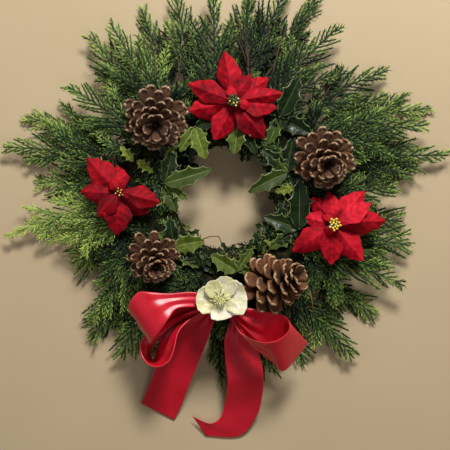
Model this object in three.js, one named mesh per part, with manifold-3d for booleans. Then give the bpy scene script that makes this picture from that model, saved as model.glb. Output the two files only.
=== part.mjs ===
// A fresh evergreen wreath lying on its back, in millimetres: +Z is the wreath's front,
// +Y its top and +X its right as it is seen. Plans are taken from the ring's centre, and the
// whole is then set down with the middle of its underside at the origin.
import * as THREE from "three";
import { mergeVertices } from "three/addons/utils/BufferGeometryUtils.js";
import Module from "manifold-3d";

const wasm = await Module();
wasm.setup();

// ---- Driving dimensions -------------------------------------------------------------------
const GAP = 0.35; // between pieces that rest in or on each other

// The flat frame: two rings of wire and the thinner wires that cross between them.
const FRAME = { wire: 3.6, sides: 6, steps: 24, radii: [84, 126], crossWires: 4, crossWire: 2.9 };

const MOSS = { middle: 106, half: 40, base: FRAME.wire + GAP, top: 46, steps: 28, lump: 1.2 };
// Section of the moss ring: across and up, each as a share from its middle line.
const MOSS_SECTION = [
  [0.75, -1], [1, -0.25], [0.95, 0.4], [0.6, 0.85], [0, 1],
  [-0.6, 0.85], [-0.95, 0.4], [-1, -0.25], [-0.75, -1],
];

// Foliage lies in three storeys, so sprays cross over and under each other without touching.
const STOREYS = [{ root: 19, tip: 7 }, { root: 32, tip: 18 }, { root: 49.5, tip: 30 }];
const BEND = { from: 140, over: 90 }; // radius where sprays start to dip, and how far that takes
// A spray is a slim core with a tapering branchlet on each side every so far (pitch).
const SPRAY = {
  pitch: 12, reach: 34, angle: 38, core: 2.6, coreHalf: 1.5, edge: 0.7, taper: 0.6, bend: 0.0004,
  droop: 0.05, fewest: 4,
};
const ROOT = { radius: 118, clear: 3, deep: 17 }; // where a side stem goes into the moss
const TOP_ROOT = { from: -9, to: 6, dive: 14 }; // a top storey's stem bends down into it
// Each spray: angle of its root round the ring, heading (both in degrees), length and storey.
const SPRAYS = [
  [358, 10, 97, 2], [14, 6, 129, 0], [24, 2, 176, 1], [36, 8, 161, 2], [47, 9, 186, 0],
  [57, 24, 156, 1], [67, 48, 143, 2], [75, 59, 168, 0], [82, 68, 158, 1], [90, 78, 151, 0],
  [98, 90, 144, 2], [108, 101, 145, 1], [118, 111, 149, 0], [128, 120, 147, 2],
  [137, 125, 154, 1], [146, 144, 126, 2], [155, 160, 161, 0],
  [163, 170, 174, 1], [171, 180, 126, 0], [180, 197, 168, 1], [189, 202, 103, 2],
  [199, 208, 98, 0], [210, 236, 113, 2], [219, 233, 137, 0], [230, 243, 128, 1],
  [264, 273, 126, 0], [280, 291, 115, 1], [292, 299, 120, 0], [303, 313, 145, 1],
  [314, 329, 131, 0], [325, 341, 136, 2], [336, 354, 128, 1], [346, 359, 112, 0],
];

const HOLLY = {
  thick: 1.1, spines: 3, stem: 1.7, crease: 0.22, wave: 1.6, foot: 5, valley: 0.56, swing: 0.002,
  above: 6, below: 24, level: 4, apart: 3,
};
// Each sprig: where its stem stands (x, y, top), then its leaves: heading, length, width, rise.
const SPRIGS = [
  { x: -76, y: 16, z: 51, leaves: [[14, 60, 27, 2], [75, 44, 24, 3], [290, 38, 22, 1]] },
  { x: -38, y: 86, z: 52, leaves: [[285, 42, 26, 1], [236, 36, 20, 2], [22, 38, 22, 1]] },
  { x: 14, y: 92, z: 52, leaves: [[268, 40, 26, 0], [338, 36, 22, 1], [305, 46, 20, 0]] },
  { x: 66, y: 98, z: 52, leaves: [[60, 54, 28, 5], [330, 44, 26, -1], [250, 36, 20, 1]] },
  { x: 76, y: 30, z: 51, leaves: [[204, 54, 24, 2], [134, 42, 24, 2], [84, 44, 26, 1]] },
  { x: 90, y: -40, z: 51, leaves: [[88, 60, 34, 1], [160, 46, 24, 1], [215, 44, 22, 0]] },
  { x: 14, y: -92, z: 54, leaves: [[60, 34, 22, 0], [152, 38, 26, 1], [8, 28, 18, 0]] },
  { x: -64, y: -62, z: 51, leaves: [[14, 38, 28, 2], [100, 36, 22, 2], [322, 40, 24, 1]] },
];

// Scales open from nearly flat at a cone's base to nearly upright at its tip, getting smaller.
const CONE = {
  length: 58, core: 9, scales: 34, wide: 19, keel: 4.4, stalk: 3.4, stalkFoot: 36, openBase: -4,
  openTip: 72, shorten: 0.62, narrow: 0.35,
};
const GOLDEN_ANGLE = 137.5; // turn from each scale of a cone to the next
// Each cone: place of its base, reach of its widest scales, and the way its tip leans.
const CONES = [
  { name: "pine_cone_upper_left", at: [-86, 99, 52], reach: 39, lean: [0.05, -0.3, 1] },
  { name: "pine_cone_upper_right", at: [119, 50, 50], reach: 37, lean: [0.05, -0.25, 1] },
  { name: "pine_cone_lower_left", at: [-92, -72, 50], reach: 31, lean: [0.2, -0.3, 1] },
  { name: "pine_cone_lower_right", at: [46, -110, 81], reach: 31, lean: [1, 0.3, 0.1] },
];

const BRACT = { thick: 0.9, crease: 0.16, arch: [3, 6], roll: 0.05, storey: 6, foot: 5 };
const BRACT_HALVES = [[0, 0.2], [0.25, 0.62], [0.5, 0.98], [0.76, 0.66]]; // along, share of width
const DISC = { radius: 9, under: 3, over: 11 }; // the boss that carries a poinsettia's bracts
const FLOWER_STEM = { radius: 1.5, foot: 34 };
const BUDS = { count: 6, spread: 5, size: 2.4, base: 2 };
// Each poinsettia: its middle, whether its buds show, and its bracts: heading, length, width,
// storey.
const POINSETTIAS = [
  {
    name: "poinsettia_top", at: [9, 115, 64], open: true,
    bracts: [
      [98, 64, 32, 0], [33, 52, 30, 0], [353, 54, 32, 0], [310, 58, 36, 0], [247, 52, 32, 0],
      [190, 56, 34, 0], [160, 60, 30, 1], [60, 40, 22, 1], [10, 62, 24, 1],
    ],
  },
  {
    name: "poinsettia_left", at: [-129, 4, 64], open: false,
    bracts: [
      [135, 60, 36, 0], [178, 50, 30, 0], [265, 52, 36, 0], [325, 42, 34, 0], [350, 50, 30, 1],
      [95, 34, 26, 0], [225, 40, 26, 1],
    ],
  },
  {
    name: "poinsettia_right", at: [131, -34, 64], open: true,
    bracts: [
      [8, 66, 34, 0], [308, 58, 34, 0], [265, 50, 32, 0], [215, 60, 32, 0], [168, 36, 24, 0],
      [130, 42, 24, 0], [100, 40, 24, 1], [50, 56, 30, 0], [28, 52, 26, 1],
    ],
  },
];

const HELLEBORE = {
  at: [-6, -125, 88], thick: 1, disc: 6, under: 3, over: 6, stem: [-6, -121.5], cup: 0.008,
  apart: 1.1, budSpread: 2.9, budSize: 2.6,
};
const PETAL_HALVES = [[0.1, 0.3], [0.38, 0.85], [0.68, 1], [0.9, 0.66]]; // along, share of width
// Its petals: heading, length, width, how far the tip rises.
const HELLEBORE_PETALS = [
  [178, 31, 30, 3], [20, 33, 36, 8], [300, 31, 34, 0], [75, 29, 34, 9], [125, 30, 26, 5],
];

const RIBBON = { thick: 0.8, steps: 2 };
const KNOT = { left: -10, right: 3.4, front: 82, back: 54, top: -125, foot: -146, sides: 10 };
const KNOT_WIRE = { radius: 1.2, foot: 28 }; // the florist's wire that pins the bow in the moss
// Each ribbon: points along its two edges, in pairs, from the knot to its end.
const RIBBONS = {
  bow_loop_upper_left: [
    [[-10.4, -129, 78], [-10.4, -139, 77]], [[-36, -116, 84], [-35, -133, 76]],
    [[-69, -121, 88], [-55, -136, 81]], [[-90, -117, 92], [-72, -145, 88]],
    [[-104, -115, 91], [-84, -158, 88]], [[-114, -125, 86], [-90, -171, 83]],
    [[-118, -136, 77], [-92, -178, 75]], [[-115, -142, 66], [-90, -180, 65]],
    [[-104, -144, 62], [-82, -172, 60]], [[-76, -137, 64], [-62, -157, 61]],
    [[-38, -129, 73], [-37, -142, 72]], [[-10.4, -129, 74.5], [-10.4, -138, 73]],
  ],
  bow_loop_lower_left: [
    [[-10.4, -129, 59], [-10.4, -138, 57.5]], [[-44, -138, 52], [-42, -149, 43]],
    [[-80, -156, 50], [-68, -166, 30]], [[-104, -175, 53], [-89, -181, 24]],
    [[-107, -190, 58], [-96, -193, 24]], [[-101, -201, 64], [-97, -203, 27]],
    [[-91, -207, 70], [-93, -207, 30]], [[-80, -207, 75], [-90, -205, 32]],
    [[-68, -199, 78], [-88, -197, 34]], [[-62, -185, 78], [-82, -182, 38]],
    [[-56, -164, 72], [-66, -162, 46]], [[-38, -148, 66], [-43, -150, 56]],
    [[-10.4, -134, 68], [-10.4, -141, 66]],
  ],
  bow_loop_right: [
    [[3.8, -137, 77], [3.8, -143, 69]], [[15, -163, 84], [30, -180, 62]],
    [[38, -174, 91], [55, -203, 60]], [[58, -173, 93], [70, -214, 62]],
    [[72, -164, 92], [88, -197, 58]], [[76, -153, 90], [100, -178, 54]],
    [[69, -146, 88], [88, -163, 50]], [[48, -142, 84], [57, -151, 54]],
    [[24, -136, 79], [28, -142, 62]], [[3.8, -129, 76], [3.8, -133, 69]],
  ],
  bow_tail_left: [
    [[-10.4, -130, 63.5], [-10.4, -140, 63]], [[-28, -141, 60], [-14, -150, 58]],
    [[-54, -160, 46], [-22, -176, 45]], [[-79, -192, 30], [-37, -214, 31]],
    [[-90, -218, 22], [-47, -239, 22]], [[-100, -243, 12], [-56, -264, 11]],
    [[-110, -266, 3], [-67, -288, 1.6]],
  ],
  bow_tail_right: [
    [[4, -131, 59], [4, -141, 58]], [[18, -143, 54], [5, -155, 51]],
    [[32, -168, 50], [-2, -177, 48]], [[37, -190, 43], [0, -202, 40]],
    [[42, -223, 33], [3, -234, 29]], [[42, -252, 22], [-2, -264, 17]],
    [[36, -280, 12], [-8, -283, 12]], [[16, -308, 3.5], [-22, -290, 10]],
    [[-26, -308, 2.2], [-43, -281, 9]],
  ],
};

// ---- Solids -------------------------------------------------------------------------------
const radians = THREE.MathUtils.degToRad;
const polar = (radius, degrees) => [
  radius * Math.cos(radians(degrees)),
  radius * Math.sin(radians(degrees)),
];
const smooth = (x) => THREE.MathUtils.smoothstep(x, 0, 1);

// A seeded draw, so that each build gives the same wreath.
function drawer(seed) {
  let state = seed * 2654435761;
  return (low, high) => {
    state = (Math.imul(state, 1664525) + 1013904223) >>> 0;
    return low + ((high - low) * state) / 4294967296;
  };
}

function geometryOf(points, faces) {
  const geometry = new THREE.BufferGeometry();
  geometry.setAttribute("position", new THREE.Float32BufferAttribute(points.flat(), 3));
  geometry.setIndex(faces.flat());
  return geometry;
}

function solidOf(geometry) {
  const bare = geometry.clone();
  bare.deleteAttribute("normal");
  bare.deleteAttribute("uv");
  const merged = mergeVertices(bare, 1e-4);
  return new wasm.Manifold(
    new wasm.Mesh({
      numProp: 3,
      vertProperties: merged.attributes.position.array,
      triVerts: new Uint32Array(merged.index.array),
    }),
  );
}

function geometryOfSolid(solid) {
  const { vertProperties, triVerts } = solid.getMesh();
  const geometry = new THREE.BufferGeometry();
  geometry.setAttribute("position", new THREE.BufferAttribute(vertProperties, 3));
  geometry.setIndex(new THREE.BufferAttribute(triVerts, 1));
  return geometry;
}

const fuse = (solids) => solids.reduce((whole, next) => whole.add(next));

// A thin sheet: flat points [along, across, thickness] put in place, with walls round its rim.
function sheet(points, triangles, rim, place) {
  const count = points.length;
  const corners = [1, -1].flatMap((side) =>
    points.map(([s, t, thick]) => {
      const [x, y, z] = place(s, t);
      return [x, y, z + (side * thick) / 2];
    }),
  );
  const faces = [];
  for (const [a, b, c] of triangles) {
    faces.push([a, b, c], [a + count, c + count, b + count]);
  }
  rim.forEach((a, i) => {
    const b = rim[(i + 1) % rim.length];
    faces.push([a + count, b + count, b], [a + count, b, a]);
  });
  return geometryOf(corners, faces);
}

// A leaf or petal with a midrib. Stations run from its foot to its tip: how far along, half its
// width there, and, if a spine stands before the next station, the spine's tip.
function leaf(stations, length, thick, place) {
  const points = [];
  const triangles = [];
  const sides = [[], []];
  const add = (s, t) => points.push([s, t, thick]) - 1;
  const rows = stations.map(({ along, half }) => ({
    rib: add(along, 0),
    edges: [add(along, -half), add(along, half)],
  }));
  const tip = add(length, 0);
  rows.push({ rib: tip, edges: [tip, tip] });
  stations.forEach(({ spine }, i) => {
    const [row, next] = [rows[i], rows[i + 1]];
    [-1, 1].forEach((sign, side) => {
      const turned = (a, b, c) => triangles.push(sign > 0 ? [a, b, c] : [a, c, b]);
      sides[side].push(row.edges[side]);
      if (next.rib !== tip) turned(row.rib, next.rib, next.edges[side]);
      if (spine) {
        const point = add(spine[0], sign * spine[1]);
        turned(row.rib, next.edges[side], point);
        turned(row.rib, point, row.edges[side]);
        sides[side].push(point);
      } else {
        turned(row.rib, next.edges[side], row.edges[side]);
      }
    });
  });
  const rim = [rows[0].rib, ...sides[0], tip, ...sides[1].reverse()];
  return sheet(points, triangles, rim, place);
}

// A straight round bar between two points.
function bar(from, to, radius, sides) {
  const [a, b] = [new THREE.Vector3(...from), new THREE.Vector3(...to)];
  const geometry = new THREE.CylinderGeometry(radius, radius, a.distanceTo(b), sides);
  const way = b.clone().sub(a).normalize();
  geometry.applyQuaternion(new THREE.Quaternion().setFromUnitVectors(THREE.Object3D.DEFAULT_UP, way));
  geometry.translate(...a.add(b).multiplyScalar(0.5));
  return geometry;
}

// ---- Ring ---------------------------------------------------------------------------------
function wireFrame() {
  const rings = FRAME.radii.map((radius) =>
    solidOf(new THREE.TorusGeometry(radius, FRAME.wire / 2, FRAME.sides, FRAME.steps)),
  );
  const cross = Array.from({ length: FRAME.crossWires }, (_, i) => {
    const angle = (360 / FRAME.crossWires) * (i + 0.5);
    const [inner, outer] = FRAME.radii.map((radius) => [...polar(radius, angle), 0]);
    return solidOf(bar(inner, outer, FRAME.crossWire / 2, 4));
  });
  const middle = (FRAME.wire / 2) * Math.cos(Math.PI / FRAME.sides);
  return fuse([...rings, ...cross]).translate([0, 0, middle]);
}

function mossHeight(share) {
  const middle = (MOSS.base + MOSS.top) / 2;
  return middle + share * (MOSS.top - middle);
}

function mossRing() {
  const draw = drawer(7);
  const count = MOSS_SECTION.length;
  const points = [];
  const faces = [];
  for (let i = 0; i < MOSS.steps; i += 1) {
    const angle = (360 * i) / MOSS.steps;
    MOSS_SECTION.forEach(([across, up]) => {
      const lump = up === -1 ? 0 : draw(-MOSS.lump, MOSS.lump);
      const [x, y] = polar(MOSS.middle + across * MOSS.half + lump * Math.sign(across), angle);
      points.push([x, y, mossHeight(up) + lump * Math.max(0, up)]);
    });
    for (let j = 0; j < count; j += 1) {
      const [a, b] = [i * count + j, i * count + ((j + 1) % count)];
      const ahead = ((i + 1) % MOSS.steps) * count;
      const [c, d] = [ahead + j, ahead + ((j + 1) % count)];
      faces.push([a, c, d], [a, d, b]);
    }
  }
  return solidOf(geometryOf(points, faces));
}

// ---- Cypress ------------------------------------------------------------------------------
function storeyHeight(storey, radius) {
  const { root, tip } = STOREYS[storey];
  return THREE.MathUtils.lerp(root, tip, smooth((radius - BEND.from) / BEND.over));
}

// How a spray lies: from its root on the ring along its heading, bending a little as it goes.
// Its stem is in the moss from start to exit.
function sprayPlan([angle, heading, length, storey], index) {
  const draw = drawer(index + 11);
  const [rootX, rootY] = polar(ROOT.radius, angle);
  const [along, across] = [polar(1, heading), polar(1, heading + 90)];
  const bend = draw(-SPRAY.bend, SPRAY.bend);
  const flat = (s, t) => {
    const aside = t + bend * s * (s - length);
    return [
      rootX + along[0] * s + across[0] * aside,
      rootY + along[1] * s + across[1] * aside,
    ];
  };
  const top = storey === STOREYS.length - 1;
  let exit = top ? TOP_ROOT.to : 0;
  const outside = MOSS.middle + MOSS.half + ROOT.clear;
  while (!top && Math.hypot(...flat(exit, 0)) < outside) exit += 1;
  const start = top ? TOP_ROOT.from : exit - ROOT.deep;
  const place = (s, t) => {
    const [x, y] = flat(s, t);
    const dive = top ? TOP_ROOT.dive * Math.max(0, (exit - s) / (exit - start)) : 0;
    return [x, y, storeyHeight(storey, Math.hypot(x, y)) - dive - Math.abs(t) * SPRAY.droop];
  };
  return { length, exit, start, place, draw };
}

// Branchlets are short by the ring, longest a third of the way out, and short at the tip.
const branchReach = (share) =>
  SPRAY.reach * Math.min(1, 0.55 + 1.6 * share) * Math.min(1, 0.28 + 1.05 * (1 - share));

function sprayOutline({ length, exit, start, draw }) {
  const steps = Math.max(SPRAY.fewest, Math.round((length - exit) / SPRAY.pitch));
  const points = [];
  const triangles = [];
  const sides = [[], []];
  const add = (s, t, thick) => points.push([s, t, thick]) - 1;
  const knots = Array.from({ length: steps }, (_, i) => exit + ((length - exit) * i) / steps);
  const stations = [start, ...knots];
  const rows = stations.map((s) => {
    const slim = 1 - SPRAY.taper * Math.max(0, (s - exit) / (length - exit));
    const [half, thick] = [SPRAY.coreHalf * slim, SPRAY.core * slim];
    return [add(s, -half, thick), add(s, half, thick)];
  });
  const tip = add(length, 0, SPRAY.edge);
  rows.push([tip, tip]);
  stations.forEach((s, i) => {
    const [row, next] = [rows[i], rows[i + 1]];
    if (next[0] !== tip) triangles.push([row[0], next[0], next[1]]);
    triangles.push([row[0], next[1], row[1]]);
    [-1, 1].forEach((sign, side) => {
      sides[side].push(row[side]);
      if (i === 0) return;
      const reach = branchReach((i - 1) / steps) * draw(0.82, 1.12);
      const [ahead, out] = polar(reach, SPRAY.angle + draw(-5, 5));
      const end = add(s + SPRAY.pitch / 4 + ahead, sign * (SPRAY.coreHalf + out), SPRAY.edge);
      triangles.push(sign > 0 ? [row[1], next[1], end] : [row[0], end, next[0]]);
      sides[side].push(end);
    });
  });
  return { points, triangles, rim: [...sides[0], tip, ...sides[1].reverse()] };
}

function spraySolid(plan) {
  const { points, triangles, rim } = sprayOutline(plan);
  return sheet(points, triangles, rim, plan.place);
}

// The plain hole in the moss that a spray's stem stands in.
function spraySocket({ start, exit, place }) {
  const half = SPRAY.coreHalf + GAP;
  const thick = SPRAY.core + 2 * GAP;
  const points = [start - GAP, exit].flatMap((s) => [[s, -half, thick], [s, half, thick]]);
  return solidOf(sheet(points, [[0, 2, 3], [0, 3, 1]], [0, 2, 3, 1], place));
}

// ---- Holly --------------------------------------------------------------------------------
// A spiny leaf: each spine stands out between two valleys, and lifts or dips in turn.
function hollyLeaf([x, y, z], [heading, length, width, rise], draw) {
  const { foot, spines } = HOLLY;
  const stations = [{ along: 0, half: 0.9 }, { along: foot, half: 1.4 }];
  const pitch = (length - foot) / (spines + 0.6);
  for (let i = 0; i < spines; i += 1) {
    const half = (width / 2) * Math.sin(Math.PI * (0.22 + (0.68 * (i + 0.5)) / spines));
    stations[i + 1].spine = [foot + pitch * (i + 0.95), half * draw(1, 1.12)];
    stations.push({ along: foot + pitch * (i + 1), half: half * HOLLY.valley });
  }
  const [along, across] = [polar(1, heading), polar(1, heading + 90)];
  const swing = draw(-HOLLY.swing, HOLLY.swing);
  const isSpine = (t) => Math.abs(t) > width * 0.36;
  const place = (s, t) => {
    const aside = t + swing * s * s;
    const wave = isSpine(t) ? HOLLY.wave * Math.sign(Math.sin(s * 0.9)) : 0;
    const arch = rise * Math.sin((0.7 * Math.PI * s) / length);
    return [
      x + along[0] * s + across[0] * aside,
      y + along[1] * s + across[1] * aside,
      z + arch + Math.abs(t) * HOLLY.crease + wave,
    ];
  };
  return solidOf(leaf(stations, length, HOLLY.thick, place));
}

function hollyStem({ x, y, z }, extra) {
  const foot = [x, y, z - HOLLY.below - extra];
  return solidOf(bar(foot, [x, y, z + HOLLY.above], HOLLY.stem + extra, 5));
}

function hollySprig(sprig, index) {
  const { x, y, z, leaves } = sprig;
  const draw = drawer(index + 71);
  const level = (i) => [x, y, z + HOLLY.level - i * HOLLY.apart];
  return fuse([hollyStem(sprig, 0), ...leaves.map((one, i) => hollyLeaf(level(i), one, draw))]);
}

// ---- Cones --------------------------------------------------------------------------------
function coneCore() {
  const { core, length } = CONE;
  const profile = [[0, -1], [0.7 * core, 0], [core, 0.3 * length], [0.7 * core, 0.8 * length]];
  const outline = [...profile, [0, length]].map(([across, up]) => new THREE.Vector2(across, up));
  return solidOf(new THREE.LatheGeometry(outline, 7).rotateX(Math.PI / 2));
}

// One woody scale: a wedge that widens from the core to its rim, with a keel under the rim.
function coneScale(index, reach) {
  const share = (index + 0.5) / CONE.scales;
  const open = radians(CONE.openBase + (CONE.openTip - CONE.openBase) * share ** 1.35);
  const height = CONE.length * (0.1 + 0.78 * share);
  const long = reach * (1 - CONE.shorten * share) * Math.min(1, 0.8 + share * 2);
  const half = (CONE.wide / 2) * (1 - CONE.narrow * share);
  const corners = [
    [2, 0, 0], [long * 0.84, -half, 0], [long, 0, 0.6], [long * 0.84, half, 0],
    [long * 0.92, 0, -CONE.keel],
  ];
  const turn = index * GOLDEN_ANGLE;
  const [out, side] = [polar(1, turn), polar(1, turn + 90)];
  const points = corners.map(([s, t, up]) => {
    const far = s * Math.cos(open) - up * Math.sin(open);
    const high = s * Math.sin(open) + up * Math.cos(open);
    return [out[0] * far + side[0] * t, out[1] * far + side[1] * t, height + high];
  });
  const faces = [[0, 1, 2], [0, 2, 3], [0, 4, 1], [0, 3, 4], [1, 4, 2], [2, 4, 3]];
  return solidOf(geometryOf(points, faces));
}

function leaned(solid, { at, lean }) {
  const way = new THREE.Vector3(...lean).normalize();
  const turn = new THREE.Quaternion().setFromUnitVectors(new THREE.Vector3(0, 0, 1), way);
  const matrix = new THREE.Matrix4().makeRotationFromQuaternion(turn).setPosition(...at);
  return solid.transform(matrix.elements);
}

const coneStalk = ({ at: [x, y, z] }, extra) =>
  solidOf(bar([x, y, CONE.stalkFoot - extra], [x, y, z + 3], CONE.stalk + extra, 6));

function pineCone(cone) {
  const scales = Array.from({ length: CONE.scales }, (_, i) => coneScale(i, cone.reach));
  return leaned(fuse([coneCore(), ...scales]), cone).add(coneStalk(cone, 0));
}

// ---- Cloth flowers ------------------------------------------------------------------------
// Stations of a rounded petal, from shares of its length and width.
const petalStations = (halves, length, width, foot) =>
  halves.map(([share, half]) => ({
    along: Math.max(foot, share * length),
    half: (half * width) / 2,
  }));

function bract([x, y, z], [heading, length, width, storey], draw) {
  const [along, across] = [polar(1, heading), polar(1, heading + 90)];
  const [arch, roll] = [draw(...BRACT.arch), draw(-BRACT.roll, BRACT.roll)];
  const place = (s, t) => {
    const lift = storey * BRACT.storey + arch * Math.sin((1.25 * Math.PI * s) / length);
    return [
      x + along[0] * s + across[0] * t,
      y + along[1] * s + across[1] * t,
      z + lift - Math.abs(t) * BRACT.crease + roll * t,
    ];
  };
  const stations = petalStations(BRACT_HALVES, length, width, BRACT.foot);
  return solidOf(leaf(stations, length, BRACT.thick, place));
}

const flowerStem = ([x, y], top, extra) =>
  solidOf(bar([x, y, FLOWER_STEM.foot - extra], [x, y, top], FLOWER_STEM.radius + extra, 5));

function poinsettia({ at, bracts }, index) {
  const draw = drawer(index + 31);
  const [x, y, z] = at;
  const disc = bar([x, y, z - DISC.under], [x, y, z + DISC.over], DISC.radius, 8);
  const petals = bracts.map((one) => bract(at, one, draw));
  return fuse([solidOf(disc), flowerStem(at, z, 0), ...petals]);
}

// A cluster of small buds on a thin base: one in the middle and the rest round it.
function buds([x, y, z], spread, size) {
  const base = solidOf(bar([x, y, z], [x, y, z + BUDS.base], spread + size, 8));
  const balls = Array.from({ length: BUDS.count }, (_, i) => {
    const [dx, dy] = i ? polar(spread, (360 / (BUDS.count - 1)) * i + 7) : [0, 0];
    const high = z + BUDS.base + size / 2;
    return solidOf(new THREE.OctahedronGeometry(size, 0).translate(x + dx, y + dy, high));
  });
  return fuse([base, ...balls]);
}

const poinsettiaBuds = ({ at: [x, y, z] }) =>
  buds([x, y, z + DISC.over + GAP], BUDS.spread, BUDS.size);

function helleborePetal([heading, length, width, rise], index) {
  const [x, y, z] = HELLEBORE.at;
  const [along, across] = [polar(1, heading), polar(1, heading + 90)];
  const level = z - 1.5 + index * HELLEBORE.apart;
  const place = (s, t) => [
    x + along[0] * s + across[0] * t,
    y + along[1] * s + across[1] * t,
    level + rise * (s / length) ** 2 + t * t * HELLEBORE.cup,
  ];
  const stations = petalStations(PETAL_HALVES, length, width, 0);
  return solidOf(leaf(stations, length, HELLEBORE.thick, place));
}

function hellebore() {
  const { at: [x, y, z], disc, under, over, stem } = HELLEBORE;
  const boss = solidOf(bar([x, y, z - under], [x, y, z + over], disc, 8));
  return fuse([boss, flowerStem(stem, z, 0), ...HELLEBORE_PETALS.map(helleborePetal)]);
}

function helleboreCentre() {
  const { at: [x, y, z], over, budSpread, budSize } = HELLEBORE;
  return buds([x, y, z + over + GAP], budSpread, budSize);
}

// ---- Bow ----------------------------------------------------------------------------------
function ribbon(pairs) {
  const lines = [0, 1].map(
    (edge) => new THREE.CatmullRomCurve3(pairs.map((pair) => new THREE.Vector3(...pair[edge]))),
  );
  const count = (pairs.length - 1) * RIBBON.steps;
  const rows = Array.from({ length: count + 1 }, (_, i) => {
    const [a, b] = lines.map((line) => line.getPoint(i / count));
    const way = lines[0].getTangent(i / count).add(lines[1].getTangent(i / count));
    const out = way.cross(b.clone().sub(a)).normalize().multiplyScalar(RIBBON.thick / 2);
    return [a.clone().add(out), b.clone().add(out), b.clone().sub(out), a.clone().sub(out)];
  });
  const points = rows.flat().map((point) => point.toArray());
  const faces = [[0, 1, 2], [0, 2, 3]];
  // The back is split along the same diagonals as the front, so a twist keeps its thickness.
  for (let i = 0; i < count; i += 1) {
    for (let j = 0; j < 4; j += 1) {
      const [a, b] = [i * 4 + j, i * 4 + ((j + 1) % 4)];
      if (j === 2) faces.push([a, a + 4, b], [b, a + 4, b + 4]);
      else faces.push([a, a + 4, b + 4], [a, b + 4, b]);
    }
  }
  const end = count * 4;
  faces.push([end, end + 2, end + 1], [end, end + 3, end + 2]);
  return solidOf(geometryOf(points, faces));
}

const knotMiddle = () => [(KNOT.left + KNOT.right) / 2, (KNOT.top + KNOT.foot) / 2];

const knotWire = (extra) =>
  solidOf(bar([...knotMiddle(), KNOT_WIRE.foot - extra], [...knotMiddle(), KNOT.back + 3],
    KNOT_WIRE.radius + extra, 5));

// The gathered middle of the bow: ribbon wound close, so a rounded roll, with its wire.
function knot() {
  const { left, right, front, back, top, foot, sides } = KNOT;
  const roll = new THREE.CylinderGeometry(1, 1, right - left, sides).rotateZ(Math.PI / 2);
  roll.scale(1, (top - foot) / 2, (front - back) / 2);
  roll.translate(...knotMiddle(), (front + back) / 2);
  return solidOf(roll).add(knotWire(0));
}

// ---- The wreath ---------------------------------------------------------------------------
const LOOKS = {
  wire: { color: 0x3b4a3c, roughness: 0.5, metalness: 0.8 },
  moss: { color: 0x39401f, roughness: 1, metalness: 0 },
  cypress: { color: 0x35532a, roughness: 0.65, metalness: 0 },
  holly: { color: 0x24421f, roughness: 0.3, metalness: 0 },
  cone: { color: 0x5c3a26, roughness: 0.75, metalness: 0 },
  cloth: { color: 0xc41a2a, roughness: 0.8, metalness: 0 },
  buds: { color: 0xc9b03a, roughness: 0.6, metalness: 0 },
  cream: { color: 0xe6e3bd, roughness: 0.7, metalness: 0 },
  ribbon: { color: 0xa81420, roughness: 0.25, metalness: 0 },
};

const ring = new THREE.Group();

function put(name, solid, look) {
  const mesh = new THREE.Mesh(geometryOfSolid(solid), new THREE.MeshStandardMaterial(LOOKS[look]));
  mesh.name = name;
  ring.add(mesh);
}

const two = (number) => String(number).padStart(2, "0");
const plans = SPRAYS.map(sprayPlan);
const sockets = fuse([
  ...plans.map(spraySocket),
  ...SPRIGS.map((sprig) => hollyStem(sprig, GAP)),
  ...CONES.map((cone) => coneStalk(cone, GAP)),
  ...POINSETTIAS.map(({ at }) => flowerStem(at, at[2], GAP)),
  flowerStem(HELLEBORE.stem, HELLEBORE.at[2], GAP),
  knotWire(GAP),
]);

put("wire_frame", wireFrame(), "wire");
put("moss_ring", mossRing().subtract(sockets), "moss");
plans.forEach((plan, i) => put(`cypress_spray_${two(i + 1)}`, solidOf(spraySolid(plan)), "cypress"));
SPRIGS.forEach((sprig, i) => put(`holly_sprig_${i + 1}`, hollySprig(sprig, i), "holly"));
CONES.forEach((cone) => put(cone.name, pineCone(cone), "cone"));
POINSETTIAS.forEach((flower, i) => {
  put(flower.name, poinsettia(flower, i), "cloth");
  if (flower.open) put(`${flower.name}_buds`, poinsettiaBuds(flower), "buds");
});
put("hellebore", hellebore(), "cream");
put("hellebore_centre", helleboreCentre(), "buds");
Object.entries(RIBBONS).forEach(([name, pairs]) => put(name, ribbon(pairs), "ribbon"));
put("bow_knot", knot(), "ribbon");

const box = new THREE.Box3().setFromObject(ring);
const middle = box.getCenter(new THREE.Vector3());
ring.position.set(-middle.x, -middle.y, -box.min.z);
const group = new THREE.Group();
group.add(ring);

export default group;
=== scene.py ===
"""The look of a fresh evergreen wreath: cypress sprays, holly, pine cones, cloth flowers and a bow.

Shapes are written in millimetres from the middle of the wire frame, +Z being the wreath's front,
and are set into the frame in metres when a piece is finished.
"""
import math
import random

import bpy
from mathutils import Matrix, Vector, noise


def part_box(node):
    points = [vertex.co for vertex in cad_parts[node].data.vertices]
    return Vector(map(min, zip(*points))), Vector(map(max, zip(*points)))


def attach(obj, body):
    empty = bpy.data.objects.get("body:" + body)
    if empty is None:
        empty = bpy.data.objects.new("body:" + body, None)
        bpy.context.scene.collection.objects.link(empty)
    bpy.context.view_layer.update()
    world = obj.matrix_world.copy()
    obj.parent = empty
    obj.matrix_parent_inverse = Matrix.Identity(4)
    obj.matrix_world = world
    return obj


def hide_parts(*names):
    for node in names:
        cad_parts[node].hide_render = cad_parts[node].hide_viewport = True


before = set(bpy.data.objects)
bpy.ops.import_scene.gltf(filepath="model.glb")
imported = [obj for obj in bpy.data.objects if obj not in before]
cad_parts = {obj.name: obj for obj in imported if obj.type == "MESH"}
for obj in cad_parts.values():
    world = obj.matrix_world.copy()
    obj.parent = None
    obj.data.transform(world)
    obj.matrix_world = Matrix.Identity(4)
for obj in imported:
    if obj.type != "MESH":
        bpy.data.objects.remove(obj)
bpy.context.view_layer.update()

MM = 0.001
LOW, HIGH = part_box("wire_frame")
CENTRE = Vector(((LOW.x + HIGH.x) / 2, (LOW.y + HIGH.y) / 2, 0.0))
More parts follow.
